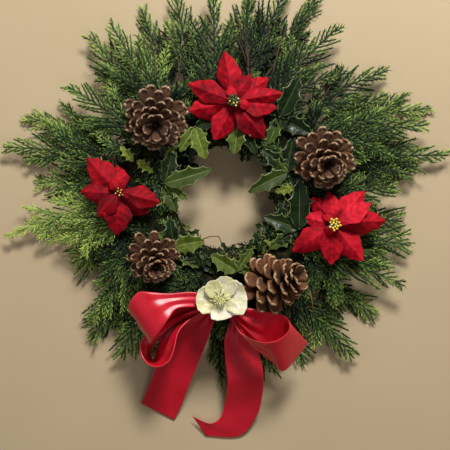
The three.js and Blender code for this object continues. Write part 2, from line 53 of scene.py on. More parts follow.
TO_FRAME = Matrix.Translation(CENTRE) @ Matrix.Scale(MM, 4)
UP = Vector((0, 0, 1))
ON_SURFACE = 0.4  # the lowest that leaves and moss reach

# ---- Camera, light and floor ---------------------------------------------------------------
CAMERA_AT = (-1.25, -35.0, 1100.0)  # straight above, a little below the ring's middle
LENS = 67.8  # on a 36 mm sensor


def shown(name, data):
    """A new object in the scene."""
    thing = bpy.data.objects.new(name, data)
    bpy.context.scene.collection.objects.link(thing)
    return thing


def add_camera():
    camera = bpy.data.cameras.new("camera")
    camera.lens = LENS
    camera.sensor_width = 36
    camera.clip_start = 0.05
    holder = shown("camera", camera)
    holder.location = TO_FRAME @ Vector(CAMERA_AT)
    bpy.context.scene.camera = holder


def add_light(name, place, target, size, power, colour, glints=True):
    """A square soft light at a place, turned to its target, both in metres from the centre."""
    light = bpy.data.lights.new(name, "AREA")
    light.size = size
    light.energy = power
    light.color = colour
    holder = shown(name, light)
    holder.location = CENTRE + Vector(place)
    way = Vector(target) - Vector(place)
    holder.rotation_euler = way.to_track_quat("-Z", "Y").to_euler()
    holder.visible_glossy = glints


def add_world(colour, strength):
    world = bpy.data.worlds.new("studio")
    world.use_nodes = True
    background = world.node_tree.nodes["Background"]
    background.inputs["Color"].default_value = (*colour, 1)
    background.inputs["Strength"].default_value = strength
    bpy.context.scene.world = world


WARM_WHITE = (1.0, 0.98, 0.95)
add_camera()
add_world(WARM_WHITE, 0.07)
add_light("window", (0.32, 1.30, 1.35), (0, 0, 0), 0.42, 49, WARM_WHITE)
add_light("fill", (0.45, -0.75, 1.5), (0, 0, 0), 1.0, 5, (1.0, 0.97, 0.93), glints=False)
add_light("side", (-1.1, 0.15, 0.8), (0, -0.1, 0.05), 1.0, 2.5, (1.0, 0.98, 0.96))
bpy.context.scene.view_settings.view_transform = "Standard"


# ---- Node trees ----------------------------------------------------------------------------
def by_math(operation, first=True):
    return lambda self, other: self.math(operation, other, first=first)


class Value:
    """One output in a node tree. Sums, products and powers of values become Math nodes."""

    def __init__(self, tree, output):
        self.tree = tree
        self.output = output

    def math(self, operation, *others, first=True):
        given = [self, *others] if first else [*others, self]
        return add_node(self.tree, "ShaderNodeMath", {"operation": operation},
                        dict(enumerate(given)))

    __add__ = __radd__ = by_math("ADD")
    __sub__, __rsub__ = by_math("SUBTRACT"), by_math("SUBTRACT", first=False)
    __mul__ = __rmul__ = by_math("MULTIPLY")
    __truediv__, __pow__ = by_math("DIVIDE"), by_math("POWER")


def feed(tree, socket, value):
    """Links a value to a socket, or sets the socket to a plain number, vector or setting."""
    if isinstance(value, Value):
        tree.links.new(value.output, socket)
    else:
        socket.default_value = value


def add_node(tree, kind, settings=None, inputs=None, output=0):
    """A new node with its settings and inputs, by name or number. Returns one of its outputs."""
    node = tree.nodes.new(kind)
    for name, value in (settings or {}).items():
        setattr(node, name, value)
    for key, value in (inputs or {}).items():
        feed(tree, node.inputs[key], value)
    if isinstance(output, str):
        found = next(one for one in node.outputs if one.name == output and one.enabled)
        return Value(tree, found)
    return Value(tree, node.outputs[output])


# ---- Finishes ------------------------------------------------------------------------------
class Finish:
    """A material: its patterns are made from the piece's own coordinates and attributes."""

    def __init__(self, name, **fixed):
        self.material = bpy.data.materials.new(name)
        self.material.use_nodes = True
        self.tree = self.material.node_tree
        self.surface = self.tree.nodes["Principled BSDF"]
        for socket, value in fixed.items():
            self.surface.inputs[socket.replace("_", " ")].default_value = value

    def attributes(self, *names):
        """The piece's own numbers of these names."""
        return [add_node(self.tree, "ShaderNodeAttribute", {"attribute_name": name}, output="Fac")
                for name in names]

    def speckle(self, scale, detail):
        """Noise from 0 to 1, with features about 1/scale metres across."""
        where = add_node(self.tree, "ShaderNodeTexCoord", output="Object")
        inputs = {"Vector": where, "Scale": scale, "Detail": detail}
        return add_node(self.tree, "ShaderNodeTexNoise", inputs=inputs)

    def ramp(self, value, stops):
        """Colours or greys by value; each stop is (position, colour or grey)."""
        node = self.tree.nodes.new("ShaderNodeValToRGB")
        band = node.color_ramp
        while len(band.elements) < len(stops):
            band.elements.new(0.5)
        for element, (position, colour) in zip(band.elements, stops):
            element.position = position
            plain = (colour,) * 3 if isinstance(colour, (int, float)) else colour
            element.color = (*plain, 1)
        feed(self.tree, node.inputs["Fac"], value)
        return Value(self.tree, node.outputs["Color"])

    def fade(self, pattern, low, high):
        """From one colour or grey to another, over the middle of a pattern."""
        return self.ramp(pattern, [(0.3, low), (0.7, high)])

    def mix(self, share, first, second, blend="MIX"):
        """Two colours mixed; a colour is a value or three plain numbers."""
        first, second = ((*colour, 1) if isinstance(colour, tuple) else colour
                         for colour in (first, second))
        return add_node(self.tree, "ShaderNodeMix", {"data_type": "RGBA", "blend_type": blend},
                        {0: share, 6: first, 7: second}, 2)

    def show(self, colour, roughness=None, relief=None, depth=0.0005, strength=1.0):
        """Colour, roughness and the height of the surface's relief, at most depth metres."""
        feed(self.tree, self.surface.inputs["Base Color"], colour)
        if roughness is not None:
            feed(self.tree, self.surface.inputs["Roughness"], roughness)
        if relief is not None:
            inputs = {"Height": relief, "Distance": depth, "Strength": strength}
            normal = add_node(self.tree, "ShaderNodeBump", inputs=inputs)
            feed(self.tree, self.surface.inputs["Normal"], normal)
        return self.material


def wire_finish():
    finish = Finish("green_coated_wire", Coat_Weight=0.3)
    wear = finish.speckle(900, 4)
    colour = finish.ramp(wear, [(0.35, (0.02, 0.05, 0.025)), (0.62, (0.05, 0.1, 0.05)),
                                (0.72, (0.2, 0.17, 0.13))])
    rough = finish.fade(wear, 0.35, 0.6)
    return finish.show(colour, rough, wear, 0.0002)


def moss_finish():
    finish = Finish("dry_moss", Specular_IOR_Level=0.15)
    clumps = finish.speckle(120, 5)
    fibres = finish.speckle(1400, 3)
    green = finish.ramp(clumps, [(0.3, (0.006, 0.008, 0.003)), (0.5, (0.018, 0.022, 0.007)),
                                 (0.7, (0.055, 0.050, 0.018))])
    colour = finish.mix(0.5, green, finish.fade(fibres, 0.25, 0.9), "MULTIPLY")
    return finish.show(colour, 0.95, clumps + fibres * 0.5, 0.003)


def cypress_finish():
    """Dark scale leaves, yellow-green where fresh and at each shoot's tip. The fresh number also
    carries painted shade, darker towards each plume's foot deep in the spray.
    """
    finish = Finish("cypress_leaf", Specular_IOR_Level=0.2)
    fresh, tip = finish.attributes("fresh", "tip")
    mottle = finish.speckle(450, 3)
    growth_and_shade = fresh * 0.85 + tip * 0.7 + mottle * 0.35 - 0.24
    colour = finish.ramp(growth_and_shade, [
        (0.0, (0.002, 0.006, 0.003)), (0.3, (0.015, 0.038, 0.013)),
        (0.6, (0.100, 0.170, 0.042)), (0.85, (0.30, 0.43, 0.085)), (1.0, (0.52, 0.62, 0.15)),
    ])
    scales = finish.speckle(1600, 1)
    return finish.show(colour, finish.fade(mottle, 0.5, 0.7), scales, 0.0003)


def bark_finish():
    finish = Finish("twig_bark")
    grain = finish.speckle(900, 4)
    colour = finish.fade(grain, (0.028, 0.017, 0.010), (0.10, 0.062, 0.034))
    return finish.show(colour, 0.8, grain, 0.0006)


def holly_finish():
    """Glossy dark leaf with a pale margin and midrib; its pale side is yellow-green and matt."""
    finish = Finish("holly_leaf", Specular_IOR_Level=0.22)
    across, along, pale = finish.attributes("across", "along", "pale")
    across = across.math("ABSOLUTE")
    mottle = finish.speckle(220, 4)
    margin = finish.ramp(across + mottle * 0.10, [(0.95, 0.0), (1.0, 1.0)])
    rib = finish.ramp(across, [(0.0, 0.8), (0.03, 0.5), (0.07, 0.0)])
    slant = along * 9.0 - across * 2.6
    vein = (slant * (2 * math.pi)).math("SINE").math("ABSOLUTE")
    veins = finish.ramp(vein, [(0.0, 1.0), (0.16, 0.0)])
    dark = finish.fade(mottle, (0.003, 0.009, 0.003), (0.010, 0.025, 0.007))
    dark = finish.mix(veins * 0.3, dark, (0.026, 0.048, 0.014))
    dark = finish.mix(rib, dark, (0.09, 0.12, 0.04))
    dark = finish.mix(margin, dark, (0.14, 0.17, 0.06))
    light = finish.ramp(mottle + pale - 1.0, [
        (0.3, (0.042, 0.072, 0.007)), (0.7, (0.108, 0.142, 0.014)), (1.0, (0.27, 0.34, 0.04))])
    light = finish.mix(veins * 0.35, light, (0.20, 0.25, 0.06))
    light = finish.mix(rib, light, (0.28, 0.33, 0.10))
    light = finish.mix(margin, light, (0.26, 0.30, 0.10))
    colour = finish.mix(pale, dark, light)
    rough = 0.27 + pale * 0.3 + mottle * 0.1
    relief = (1.0 - veins * 0.5) + mottle * 0.4
    return finish.show(colour, rough, relief, 0.0006, 0.8)


def cone_finish():
    """Woody scales, near black at their foot as painted shade between them, dark brown in the
    middle, tan and then cream towards the rim.
    """
    finish = Finish("cone_scale", Specular_IOR_Level=0.3)
    rim, warm = finish.attributes("rim", "warm")
    grain = finish.speckle(260, 5)
    fine = finish.speckle(1500, 3)
    shade = rim + grain * 0.30 - 0.15
    # In both ramps the near-black low end is painted shade where the scales tuck under each other;
    # the browns and cream above are the wood's own.
    cold = finish.ramp(shade, [
        (0.0, (0.007, 0.003, 0.002)), (0.3, (0.034, 0.016, 0.009)), (0.55, (0.084, 0.041, 0.022)),
        (0.8, (0.14, 0.078, 0.045)), (1.0, (0.42, 0.29, 0.19)),
    ])
    orange = finish.ramp(shade, [
        (0.0, (0.010, 0.004, 0.002)), (0.3, (0.060, 0.023, 0.010)), (0.55, (0.205, 0.083, 0.033)),
        (0.8, (0.31, 0.15, 0.066)), (1.0, (0.54, 0.36, 0.21)),
    ])
    colour = finish.mix(warm, cold, orange)
    colour = finish.mix(0.4, colour, finish.fade(fine, 0.5, 1.0), "MULTIPLY")
    return finish.show(colour, 0.72, grain + fine * 0.5, 0.0012)


def petal_finish(name, deep, main, light, rough, heart):
    """Pressed cloth with a fine weave: raised veins paler, painted shade in the folds between them,
    and a deeper colour towards the petal's foot.
    """
    finish = Finish(name, Specular_IOR_Level=0.15)
    crease, along = finish.attributes("crease", "along")
    blotch = finish.speckle(90, 3)
    colour = finish.ramp(blotch * 0.62 + crease * 0.38, [(0.24, deep), (0.5, main), (0.8, light)])
    # Deeper towards the foot: on the red bracts this is painted shade near the flower's middle, on
    # the cream petals their own yellow-green heart.
    foot = finish.ramp(along, [(0.0, 1.0), (heart, 0.0)])
    colour = finish.mix(foot * 0.8, colour, deep)
    weave = finish.speckle(2600, 1)
    crumple = finish.speckle(170, 2)
    return finish.show(colour, rough, weave * 0.5 + crease * 0.3 + crumple * 1.3, 0.0008)


def ribbon_finish():
    """Glossy florist ribbon: very fine ribs across it and a soft clear face."""
    finish = Finish("florist_ribbon", Coat_Weight=0.75, Coat_Roughness=0.42,
                    Specular_IOR_Level=0.4)
    along, across = finish.attributes("along", "across")
    ribs = (along * 2600.0).math("SINE")
    cloud = finish.speckle(40, 2)
    # A paler red along both edges: a painted highlight where the edges catch the light.
    edge = finish.ramp(across.math("ABSOLUTE"), [(0.93, 0.0), (0.99, 1.0)])
    colour = finish.fade(cloud, (0.52, 0.004, 0.018), (0.60, 0.006, 0.023))
    colour = finish.mix(edge * 0.35, colour, (0.70, 0.03, 0.05))
    rough = finish.fade(cloud, 0.26, 0.36)
    return finish.show(colour, rough, ribs * 0.5 + cloud, 0.00012)


def bud_finish(name, dark, light):
    finish = Finish(name)
    grain = finish.speckle(700, 3)
    return finish.show(finish.fade(grain, dark, light), 0.5, grain, 0.0004)


def floor_finish():
    finish = Finish("pale_floor", Specular_IOR_Level=0.3)
    grain = finish.speckle(6, 2)
    colour = finish.fade(grain, (0.44, 0.342, 0.212), (0.465, 0.363, 0.228))
    return finish.show(colour, 0.6)


WIRE = wire_finish()
MOSS = moss_finish()
CYPRESS = cypress_finish()
BARK = bark_finish()
HOLLY = holly_finish()
CONE_WOOD = cone_finish()
RED = petal_finish("red_cloth", (0.12, 0.001, 0.005), (0.42, 0.002, 0.012),
                   (0.72, 0.018, 0.042), 0.62, 0.45)
CREAM = petal_finish("cream_cloth", (0.54, 0.53, 0.14), (0.83, 0.79, 0.56),
                     (0.93, 0.91, 0.76), 0.55, 0.6)
RIBBON = ribbon_finish()
YELLOW = bud_finish("yellow_bud", (0.75, 0.42, 0.03), (0.95, 0.70, 0.10))
GREEN_BUD = bud_finish("green_bud", (0.025, 0.04, 0.010), (0.10, 0.12, 0.03))
DRY_NEEDLE = bud_finish("dry_needle", (0.10, 0.045, 0.018), (0.22, 0.10, 0.04))
CREAM_BUD = bud_finish("cream_bud", (0.62, 0.62, 0.28), (0.80, 0.78, 0.45))


def add_floor(reach=6.0):
    mesh = bpy.data.meshes.new("floor")
    corners = [(x * reach, y * reach, 0) for x, y in ((-1, -1), (1, -1), (1, 1), (-1, 1))]
    mesh.from_pydata(corners, [], [(0, 1, 2, 3)])
    mesh.materials.append(floor_finish())
    floor = shown("floor", mesh)


add_floor()


# ---- Shapes --------------------------------------------------------------------------------
def clamp(value, low=0.0, high=1.0):
    return max(low, min(high, value))


def lerp(start, end, share):
    return start + (end - start) * share


def smooth(share):
    share = clamp(share)
    return share * share * (3 - 2 * share)


def polar(radius, degrees):
    angle = math.radians(degrees)
    return Vector((radius * math.cos(angle), radius * math.sin(angle), 0))


def along_stops(stops, share):
    """A smooth value between stops (position, value)."""
    for (start, first), (end, second) in zip(stops, stops[1:]):
        if share <= end:
            return lerp(first, second, smooth((share - start) / (end - start)))
    return stops[-1][1]


def spline(points, share):
    """A point on the smooth curve through the points, share running from 0 to 1."""
    spans = len(points) - 1
    span = min(int(share * spans), spans - 1)
    t = share * spans - span
    p0, p1, p2, p3 = (points[clamp(span + k, 0, spans)] for k in (-1, 0, 1, 2))
    return 0.5 * (2 * p1 + (p2 - p0) * t + (2 * p0 - 5 * p1 + 4 * p2 - p3) * t * t
                  + (3 * p1 - p0 - 3 * p2 + p3) * t * t * t)


def plain_mesh(name, points, edges, faces, **values):
    """A mesh from its points, edges and faces, with a number at each point for each value."""
    mesh = bpy.data.meshes.new(name)
    mesh.from_pydata(points, edges, faces)
    for key, row in values.items():
        mesh.attributes.new(key, "FLOAT", "POINT").data.foreach_set("value", row)
    return mesh


class Shape:
    """Points in millimetres with their values, and faces, gathered for one piece."""

    def __init__(self, *names):
        self.points = []
        self.faces = []
        self.finishes = []
        self.values = {name: [] for name in names}

    def add(self, points, faces, finish=0, **values):
        base = len(self.points)
        self.points.extend(points)
        self.faces.extend([tuple(corner + base for corner in face) for face in faces])
        self.finishes.extend([finish] * len(faces))
        for name, row in self.values.items():
            given = values.get(name, 0.0)
            row.extend(given if isinstance(given, list) else [given] * len(points))

    def thin(self, grid, thickness, **values):
        """A thin solid round a grid of points; a list has a value for each point of the grid."""
        both = {name: given * 2 if isinstance(given, list) else given
                for name, given in values.items()}
        self.add(*thin_solid(grid, thickness), **both)

    def bar(self, line, radii, sides, **values):
        self.add(*round_bar(line, radii, sides), **values)

    def post(self, x, y, heights, radii, sides=8, **values):
        """A round post at x, y, with a radius at each height."""
        self.bar([Vector((x, y, height)) for height in heights], radii, sides, **values)

    def pattern(self, name):
        """An object in millimetres for a node tree to repeat. It isn't shown itself."""
        mesh = plain_mesh(name, self.points, [], self.faces, **self.values)
        return bpy.data.objects.new(name, mesh)

    def mesh(self, name, finishes):
        points = [TO_FRAME @ Vector(point) for point in self.points]
        mesh = plain_mesh(name, points, [], self.faces, **self.values)
        for finish in finishes:
            mesh.materials.append(finish)
        mesh.polygons.foreach_set("material_index", self.finishes)
        mesh.shade_smooth()
        return mesh


def add_piece(name, mesh, slot, *nodes):
    """Puts a finished mesh into the scene in place of the frame's nodes."""
    piece = shown(name, mesh)
    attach(piece, "root")
    if nodes:
        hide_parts(*nodes)
    return piece


def grid_normals(grid):
    """A normal at each point of a grid of points."""
    rows, columns = len(grid), len(grid[0])
    normals = []
    for i in range(rows):
        ahead, behind = grid[min(i + 1, rows - 1)], grid[max(i - 1, 0)]
        row = []
        for j in range(columns):
            way = ahead[j] - behind[j]
            across = grid[i][min(j + 1, columns - 1)] - grid[i][max(j - 1, 0)]
            row.append(way.cross(across).normalized())
        normals.append(row)
    return normals


def thin_solid(grid, thickness):
    """A closed thin solid round a grid of points: its points and faces, front then back.

    The thickness is one number, or a function of the grid's row and column giving how far the
    front and the back stand from the grid.
    """
    rows, columns = len(grid), len(grid[0])
    normals = grid_normals(grid)
    both = thickness if callable(thickness) else lambda i, j: (thickness / 2, thickness / 2)
    front, back = [], []
    for i in range(rows):
        for j in range(columns):
            ahead, behind = both(i, j)
            front.append(grid[i][j] + normals[i][j] * ahead)
            back.append(grid[i][j] - normals[i][j] * behind)
    count = rows * columns
    faces = []
    for i in range(rows - 1):
        for j in range(columns - 1):
            a = i * columns + j
            b, c, d = a + 1, a + columns + 1, a + columns
            faces.append((a, d, c, b))
            faces.append((a + count, b + count, c + count, d + count))
    rim = list(range(columns))
    rim += [i * columns + columns - 1 for i in range(1, rows)]
    rim += [(rows - 1) * columns + j for j in range(columns - 2, -1, -1)]
    rim += [i * columns for i in range(rows - 2, 0, -1)]
    for a, b in zip(rim, rim[1:] + rim[:1]):
        faces.append((a, b, b + count, a + count))
    return front + back, faces


def ring_faces(rings, sides):
    """Faces between neighbouring rings of points, with so many points in each."""
    faces = []
    for i in range(rings - 1):
        for k in range(sides):
            a, b = i * sides + k, i * sides + (k + 1) % sides
            faces.append((a, b, b + sides, a + sides))
    return faces


def turned(faces):
    """The same four-sided faces, seen from the other side."""
    return [(a, d, c, b) for a, b, c, d in faces]


def round_bar(points, radii, sides):
    """A closed round bar along points, its radius given at each."""
    rings = []
    for i, point in enumerate(points):
        way = (points[min(i + 1, len(points) - 1)] - points[max(i - 1, 0)]).normalized()
        side = way.cross(UP if abs(way.z) < 0.9 else Vector((1, 0, 0))).normalized()
        other = way.cross(side)
        for k in range(sides):
            angle = 2 * math.pi * k / sides
            rings.append(point + (side * math.cos(angle) + other * math.sin(angle)) * radii[i])
    last = len(rings) - sides
    ends = [tuple(reversed(range(sides))), tuple(range(last, last + sides))]
    return rings, ring_faces(len(points), sides) + ends


def bead(centre, radius, stretch=1.25, rings=6, sides=8):
    """A closed ball, stretched along its height."""
    points = [centre + UP * radius * stretch]
    for i in range(1, rings):
        tilt = math.pi * i / rings
        for k in range(sides):
            turn = 2 * math.pi * k / sides
            points.append(centre + Vector((
                radius * math.sin(tilt) * math.cos(turn),
                radius * math.sin(tilt) * math.sin(turn),
                radius * math.cos(tilt) * stretch)))
    points.append(centre - UP * radius * stretch)
    faces = []
    for k in range(sides):
        ahead = (k + 1) % sides
        faces.append((0, 1 + k, 1 + ahead))
        for i in range(rings - 2):
            a, b = 1 + i * sides + k, 1 + i * sides + ahead
            faces.append((a, a + sides, b + sides, b))
        last = 1 + (rings - 2) * sides
        faces.append((last + k, len(points) - 1, last + ahead))
    return points, faces


# ---- Geometry Nodes ------------------------------------------------------------------------
class Rule:
    """A Geometry Nodes tree with named inputs, run once on a mesh to give a plain mesh."""

    def __init__(self, name, **inputs):
        self.tree = bpy.data.node_groups.new(name, "GeometryNodeTree")
        self.tree.is_modifier = True
        face = self.tree.interface
        face.new_socket("Geometry", in_out="INPUT", socket_type="NodeSocketGeometry")
        face.new_socket("Geometry", in_out="OUTPUT", socket_type="NodeSocketGeometry")
        self.sockets = {
            key: face.new_socket(key, in_out="INPUT", socket_type=f"NodeSocket{kind}").identifier
            for key, kind in inputs.items()
        }
        self.entry = self.tree.nodes.new("NodeGroupInput")

    def given(self, name):
        return Value(self.tree, self.entry.outputs[name])

    def node(self, kind, settings=None, inputs=None, output=0):
        return add_node(self.tree, kind, settings, inputs, output)

    def vector(self, operation, *values):
        return self.node("ShaderNodeVectorMath", {"operation": operation},
                         dict(enumerate(values)))

    def scaled(self, vector, size):
        return self.node("ShaderNodeVectorMath", {"operation": "SCALE"},
                         {"Vector": vector, "Scale": size})

    def attribute(self, name, kind="FLOAT"):
        return self.node("GeometryNodeInputNamedAttribute", {"data_type": kind},
                         {"Name": name}, "Attribute")

    def xyz(self, **parts):
        return self.node("ShaderNodeCombineXYZ", inputs=parts)

    def facing(self, way, up):
        """The turn that sets +X along one vector and +Z towards another."""
        return self.node("FunctionNodeAxesToRotation",
                         {"primary_axis": "X", "secondary_axis": "Z"}, {0: way, 1: up})

    def repeat(self, name, points, rotation, scale):
        """The object of the named input at each point, turned and scaled."""
        thing = self.node("GeometryNodeObjectInfo", inputs={"Object": self.given(name)},
                          output="Geometry")
        return self.node("GeometryNodeInstanceOnPoints", inputs={
            "Points": points, "Instance": thing, "Rotation": rotation, "Scale": scale})

    def stored(self, placed, name, value):
        """The instances, each with a number for its finish."""
        return self.node("GeometryNodeStoreNamedAttribute",
                         {"data_type": "FLOAT", "domain": "INSTANCE"},
                         {"Geometry": placed, "Name": name, "Value": value})

    def draw(self, low, high, seed):
        """A random number for each element, the same in every run."""
        return self.node("FunctionNodeRandomValue", {"data_type": "FLOAT"},
                         {2: low, 3: high, 8: seed}, 1)

    def end(self, *parts):
        """Joins the parts, makes instances real and gives them their finish."""
        join = self.tree.nodes.new("GeometryNodeJoinGeometry")
        for part in parts:
            self.tree.links.new(part.output, join.inputs[0])
        joined_parts = Value(self.tree, join.outputs[0])
        real = self.node("GeometryNodeRealizeInstances", inputs={0: joined_parts})
        finished = self.node("GeometryNodeSetMaterial",
                             inputs={"Geometry": real, "Material": self.given("Finish")})
        smoothed = self.node("GeometryNodeSetShadeSmooth", inputs={0: finished})
        leave = self.tree.nodes.new("NodeGroupOutput")
        feed(self.tree, leave.inputs[0], smoothed)

    def run(self, mesh, name, **values):
        """The plain mesh that the tree makes from a mesh, with its inputs set by name."""
        source = shown(name, mesh)
        modifier = source.modifiers.new(name, "NODES")
        modifier.node_group = self.tree
        for key, value in values.items():
            modifier[self.sockets[key]] = value
        graph = bpy.context.evaluated_depsgraph_get()
        made = bpy.data.meshes.new_from_object(source.evaluated_get(graph), depsgraph=graph)
        made.name = name
        bpy.data.objects.remove(source)
        return made


def settled(mesh):
    """The mesh set into the frame, with what would dip into the surface lying on it."""
    for point in mesh.vertices:
        point.co.z = max(point.co.z, ON_SURFACE)
    mesh.transform(TO_FRAME)
    return mesh


# ---- Cypress -------------------------------------------------------------------------------
STOREYS = [(19, 7), (32, 18), (49.5, 30)]  # height at the ring and at the outermost tips
BEND = (140, 90)  # radius where sprays start to dip, and how far that takes
MOSS_EDGE = 149  # a spray's leaves start outside this radius, unless it is in the top storey
SPRAY_ROOT = 118  # radius where a spray begins
REACH = 44  # of its longest side branches
SHOOTS = {"Spacing": 3.0, "Spread": 0.44}  # millimetres apart, and radians off the twig
SHORT = {"reach": 20, "pitch": 8.0}  # twigs on the ring and behind the bow
NARROW_SPRAYS = {20: 0.8, 26: 0.4}  # the lone one on the left; the one between the bow's tails
HANGING_SPRAYS = {28: -10, 29: -20, 30: -20, 31: -16}  # side plumes turned towards the bow
# Each spray: angle of its root, heading (degrees), length, storey, and how fresh its green is.
SPRAYS = [
    (358, 10, 97, 2, 0.25), (14, 6, 129, 0, 0.3), (24, 2, 176, 1, 0.3), (36, 8, 161, 2, 0.35),
    (47, 9, 186, 0, 0.4), (57, 24, 156, 1, 0.25), (67, 48, 143, 2, 0.2), (75, 59, 168, 0, 0.15),
    (82, 68, 158, 1, 0.15), (90, 78, 151, 0, 0.2), (98, 90, 144, 2, 0.25), (108, 101, 145, 1, 0.3),
    (118, 111, 149, 0, 0.3), (128, 120, 147, 2, 0.4), (137, 125, 154, 1, 0.4),
    (146, 144, 126, 2, 0.4), (155, 160, 161, 0, 0.45), (163, 170, 174, 1, 0.45),
    (171, 180, 126, 0, 0.5), (180, 197, 168, 1, 0.85), (189, 202, 103, 2, 0.7),
    (199, 208, 98, 0, 0.5), (210, 236, 113, 2, 0.45), (219, 233, 137, 0, 0.4),
    (230, 243, 128, 1, 0.4), (264, 273, 126, 0, 0.3), (280, 291, 115, 1, 0.35),
    (292, 299, 120, 0, 0.3), (303, 313, 145, 1, 0.35), (314, 329, 131, 0, 0.35),
    (325, 341, 136, 2, 0.4), (336, 354, 128, 1, 0.35), (346, 359, 112, 0, 0.3),
]


def foliage_rule():
    """Leafy shoots on both sides of every twig, alternating, with the twig itself between."""
    rule = Rule("leafy_twigs", Shoot="Object", Finish="Material", Spacing="Float",
                Spread="Float", Seed="Int")
    seed = rule.given("Seed")
    curve = rule.node("GeometryNodeMeshToCurve", inputs={0: rule.given("Geometry")})
    fine = rule.node("GeometryNodeResampleCurve", {"mode": "LENGTH"},
                     {"Curve": curve, "Length": rule.given("Spacing")})
    tangent = rule.node("GeometryNodeInputTangent")
    plane = rule.attribute("plane", "FLOAT_VECTOR")
    side = rule.vector("CROSS_PRODUCT", plane, tangent)
    index = rule.node("GeometryNodeInputIndex")
    turn = index.math("MODULO", 2.0) * 2.0 - 1.0
    angle = rule.given("Spread") + rule.draw(-0.14, 0.14, seed)
    way = rule.vector("ADD", rule.scaled(tangent, angle.math("COSINE")),
                      rule.scaled(side, angle.math("SINE") * turn))
    lift = rule.scaled(plane, rule.draw(-0.28, 0.34, seed + 1.0))
    tilted = rule.vector("ADD", plane, rule.scaled(side, rule.draw(-0.5, 0.5, seed + 2.0)))
    facing = rule.facing(rule.vector("ADD", way, lift), tilted)
    size = rule.attribute("size") * rule.draw(0.8, 1.2, seed + 3.0)
    fresh = rule.attribute("fresh") + rule.draw(-0.14, 0.14, seed + 4.0)
    coloured = rule.stored(rule.repeat("Shoot", fine, facing, size), "fresh", fresh)
    thick = rule.node("GeometryNodeSetCurveRadius",
                      inputs={"Curve": fine, "Radius": rule.attribute("thick")})
    ring = rule.node("GeometryNodeCurvePrimitiveCircle", inputs={"Resolution": 4, "Radius": 1.0})
    twig = rule.node("GeometryNodeCurveToMesh",
                     inputs={"Curve": thick, "Profile Curve": ring, "Fill Caps": True})
    rule.end(coloured, twig)
    return rule


def cypress_shoot():
    """One shoot along +X, 10 mm long: a slim stem of scale leaves with four side shoots."""
    shape = Shape("tip")
    stations = [(0, 0.42), (3.5, 0.56), (7.5, 0.46), (10, 0.12)]
    points, values = [], []
    for x, half in stations:
        for k in range(3):
            angle = math.radians(90 + 120 * k)
            points.append(Vector((x, 1.25 * half * math.cos(angle), 0.8 * half * math.sin(angle))))
            values.append(x / 10)
    shape.add(points, [(2, 1, 0), (9, 10, 11)] + ring_faces(4, 3), tip=values)
    for x, sign, long in ((1.6, 1, 3.0), (3.0, -1, 3.4), (4.6, 1, 3.0), (6.2, -1, 2.4)):
        way = Vector((math.cos(0.5), sign * math.sin(0.5), 0))
        root = Vector((x, 0, 0))
        side = way.cross(UP)
        points = [root + side * 0.45, root - side * 0.45, root + UP * 0.5 + way, root + way * long]
        faces = [(0, 2, 1), (0, 3, 2), (1, 2, 3), (0, 1, 3)]
        share = x / 10
        shape.add(points, faces, tip=[share, share, share, min(1.0, share + long / 9)])
    return shape.pattern("cypress_shoot")


class Twigs:
    """Twigs as lines of points, with each point's shoot size, thickness and leaf plane."""

    def __init__(self):
        self.points = []
        self.edges = []
        self.values = {"size": [], "fresh": [], "thick": []}
        self.planes = []

    def add(self, points, plane, sizes, fresh, thick):
        base = len(self.points)
        last = len(points) - 1
        self.points.extend(points)
        self.edges.extend([(base + i, base + i + 1) for i in range(last)])
        self.values["size"].extend(sizes)
        # Each twig a little darker at its foot than at its tip: partly lighter new growth, partly
        # painted shade inside the spray.
        for name, start, end in (("fresh", fresh - 0.1, fresh + 0.1), ("thick", thick, 0.3)):
            self.values[name].extend([lerp(start, end, i / last) for i in range(last + 1)])
        self.planes.extend([plane] * len(points))

    def mesh(self, name):
        mesh = plain_mesh(name, self.points, self.edges, [], **self.values)
        flat = [number for plane in self.planes for number in plane]
        mesh.attributes.new("plane", "FLOAT_VECTOR", "POINT").data.foreach_set("vector", flat)
        return mesh


def storey_height(storey, radius):
    root, tip = STOREYS[storey]
    return lerp(root, tip, smooth((radius - BEND[0]) / BEND[1]))


def add_branch(twigs, root, way, plane, length, fresh, shoot, droop, curl):
    """A leafy side branch that bends towards its main twig's tip and droops at its end."""
    side = plane.cross(way).normalized()
    count = 5
    points, sizes = [], []
    for i in range(count + 1):
        share = i / count
        point = root + way * (length * share) + side * (curl * length * share * share)
        point -= UP * droop * share * share
        points.append(point)
        sizes.append(shoot * along_stops([(0, 0.7), (0.35, 1.0), (1, 0.5)], share))
    twigs.add(points, plane, sizes, fresh, 0.45 + length * 0.006)


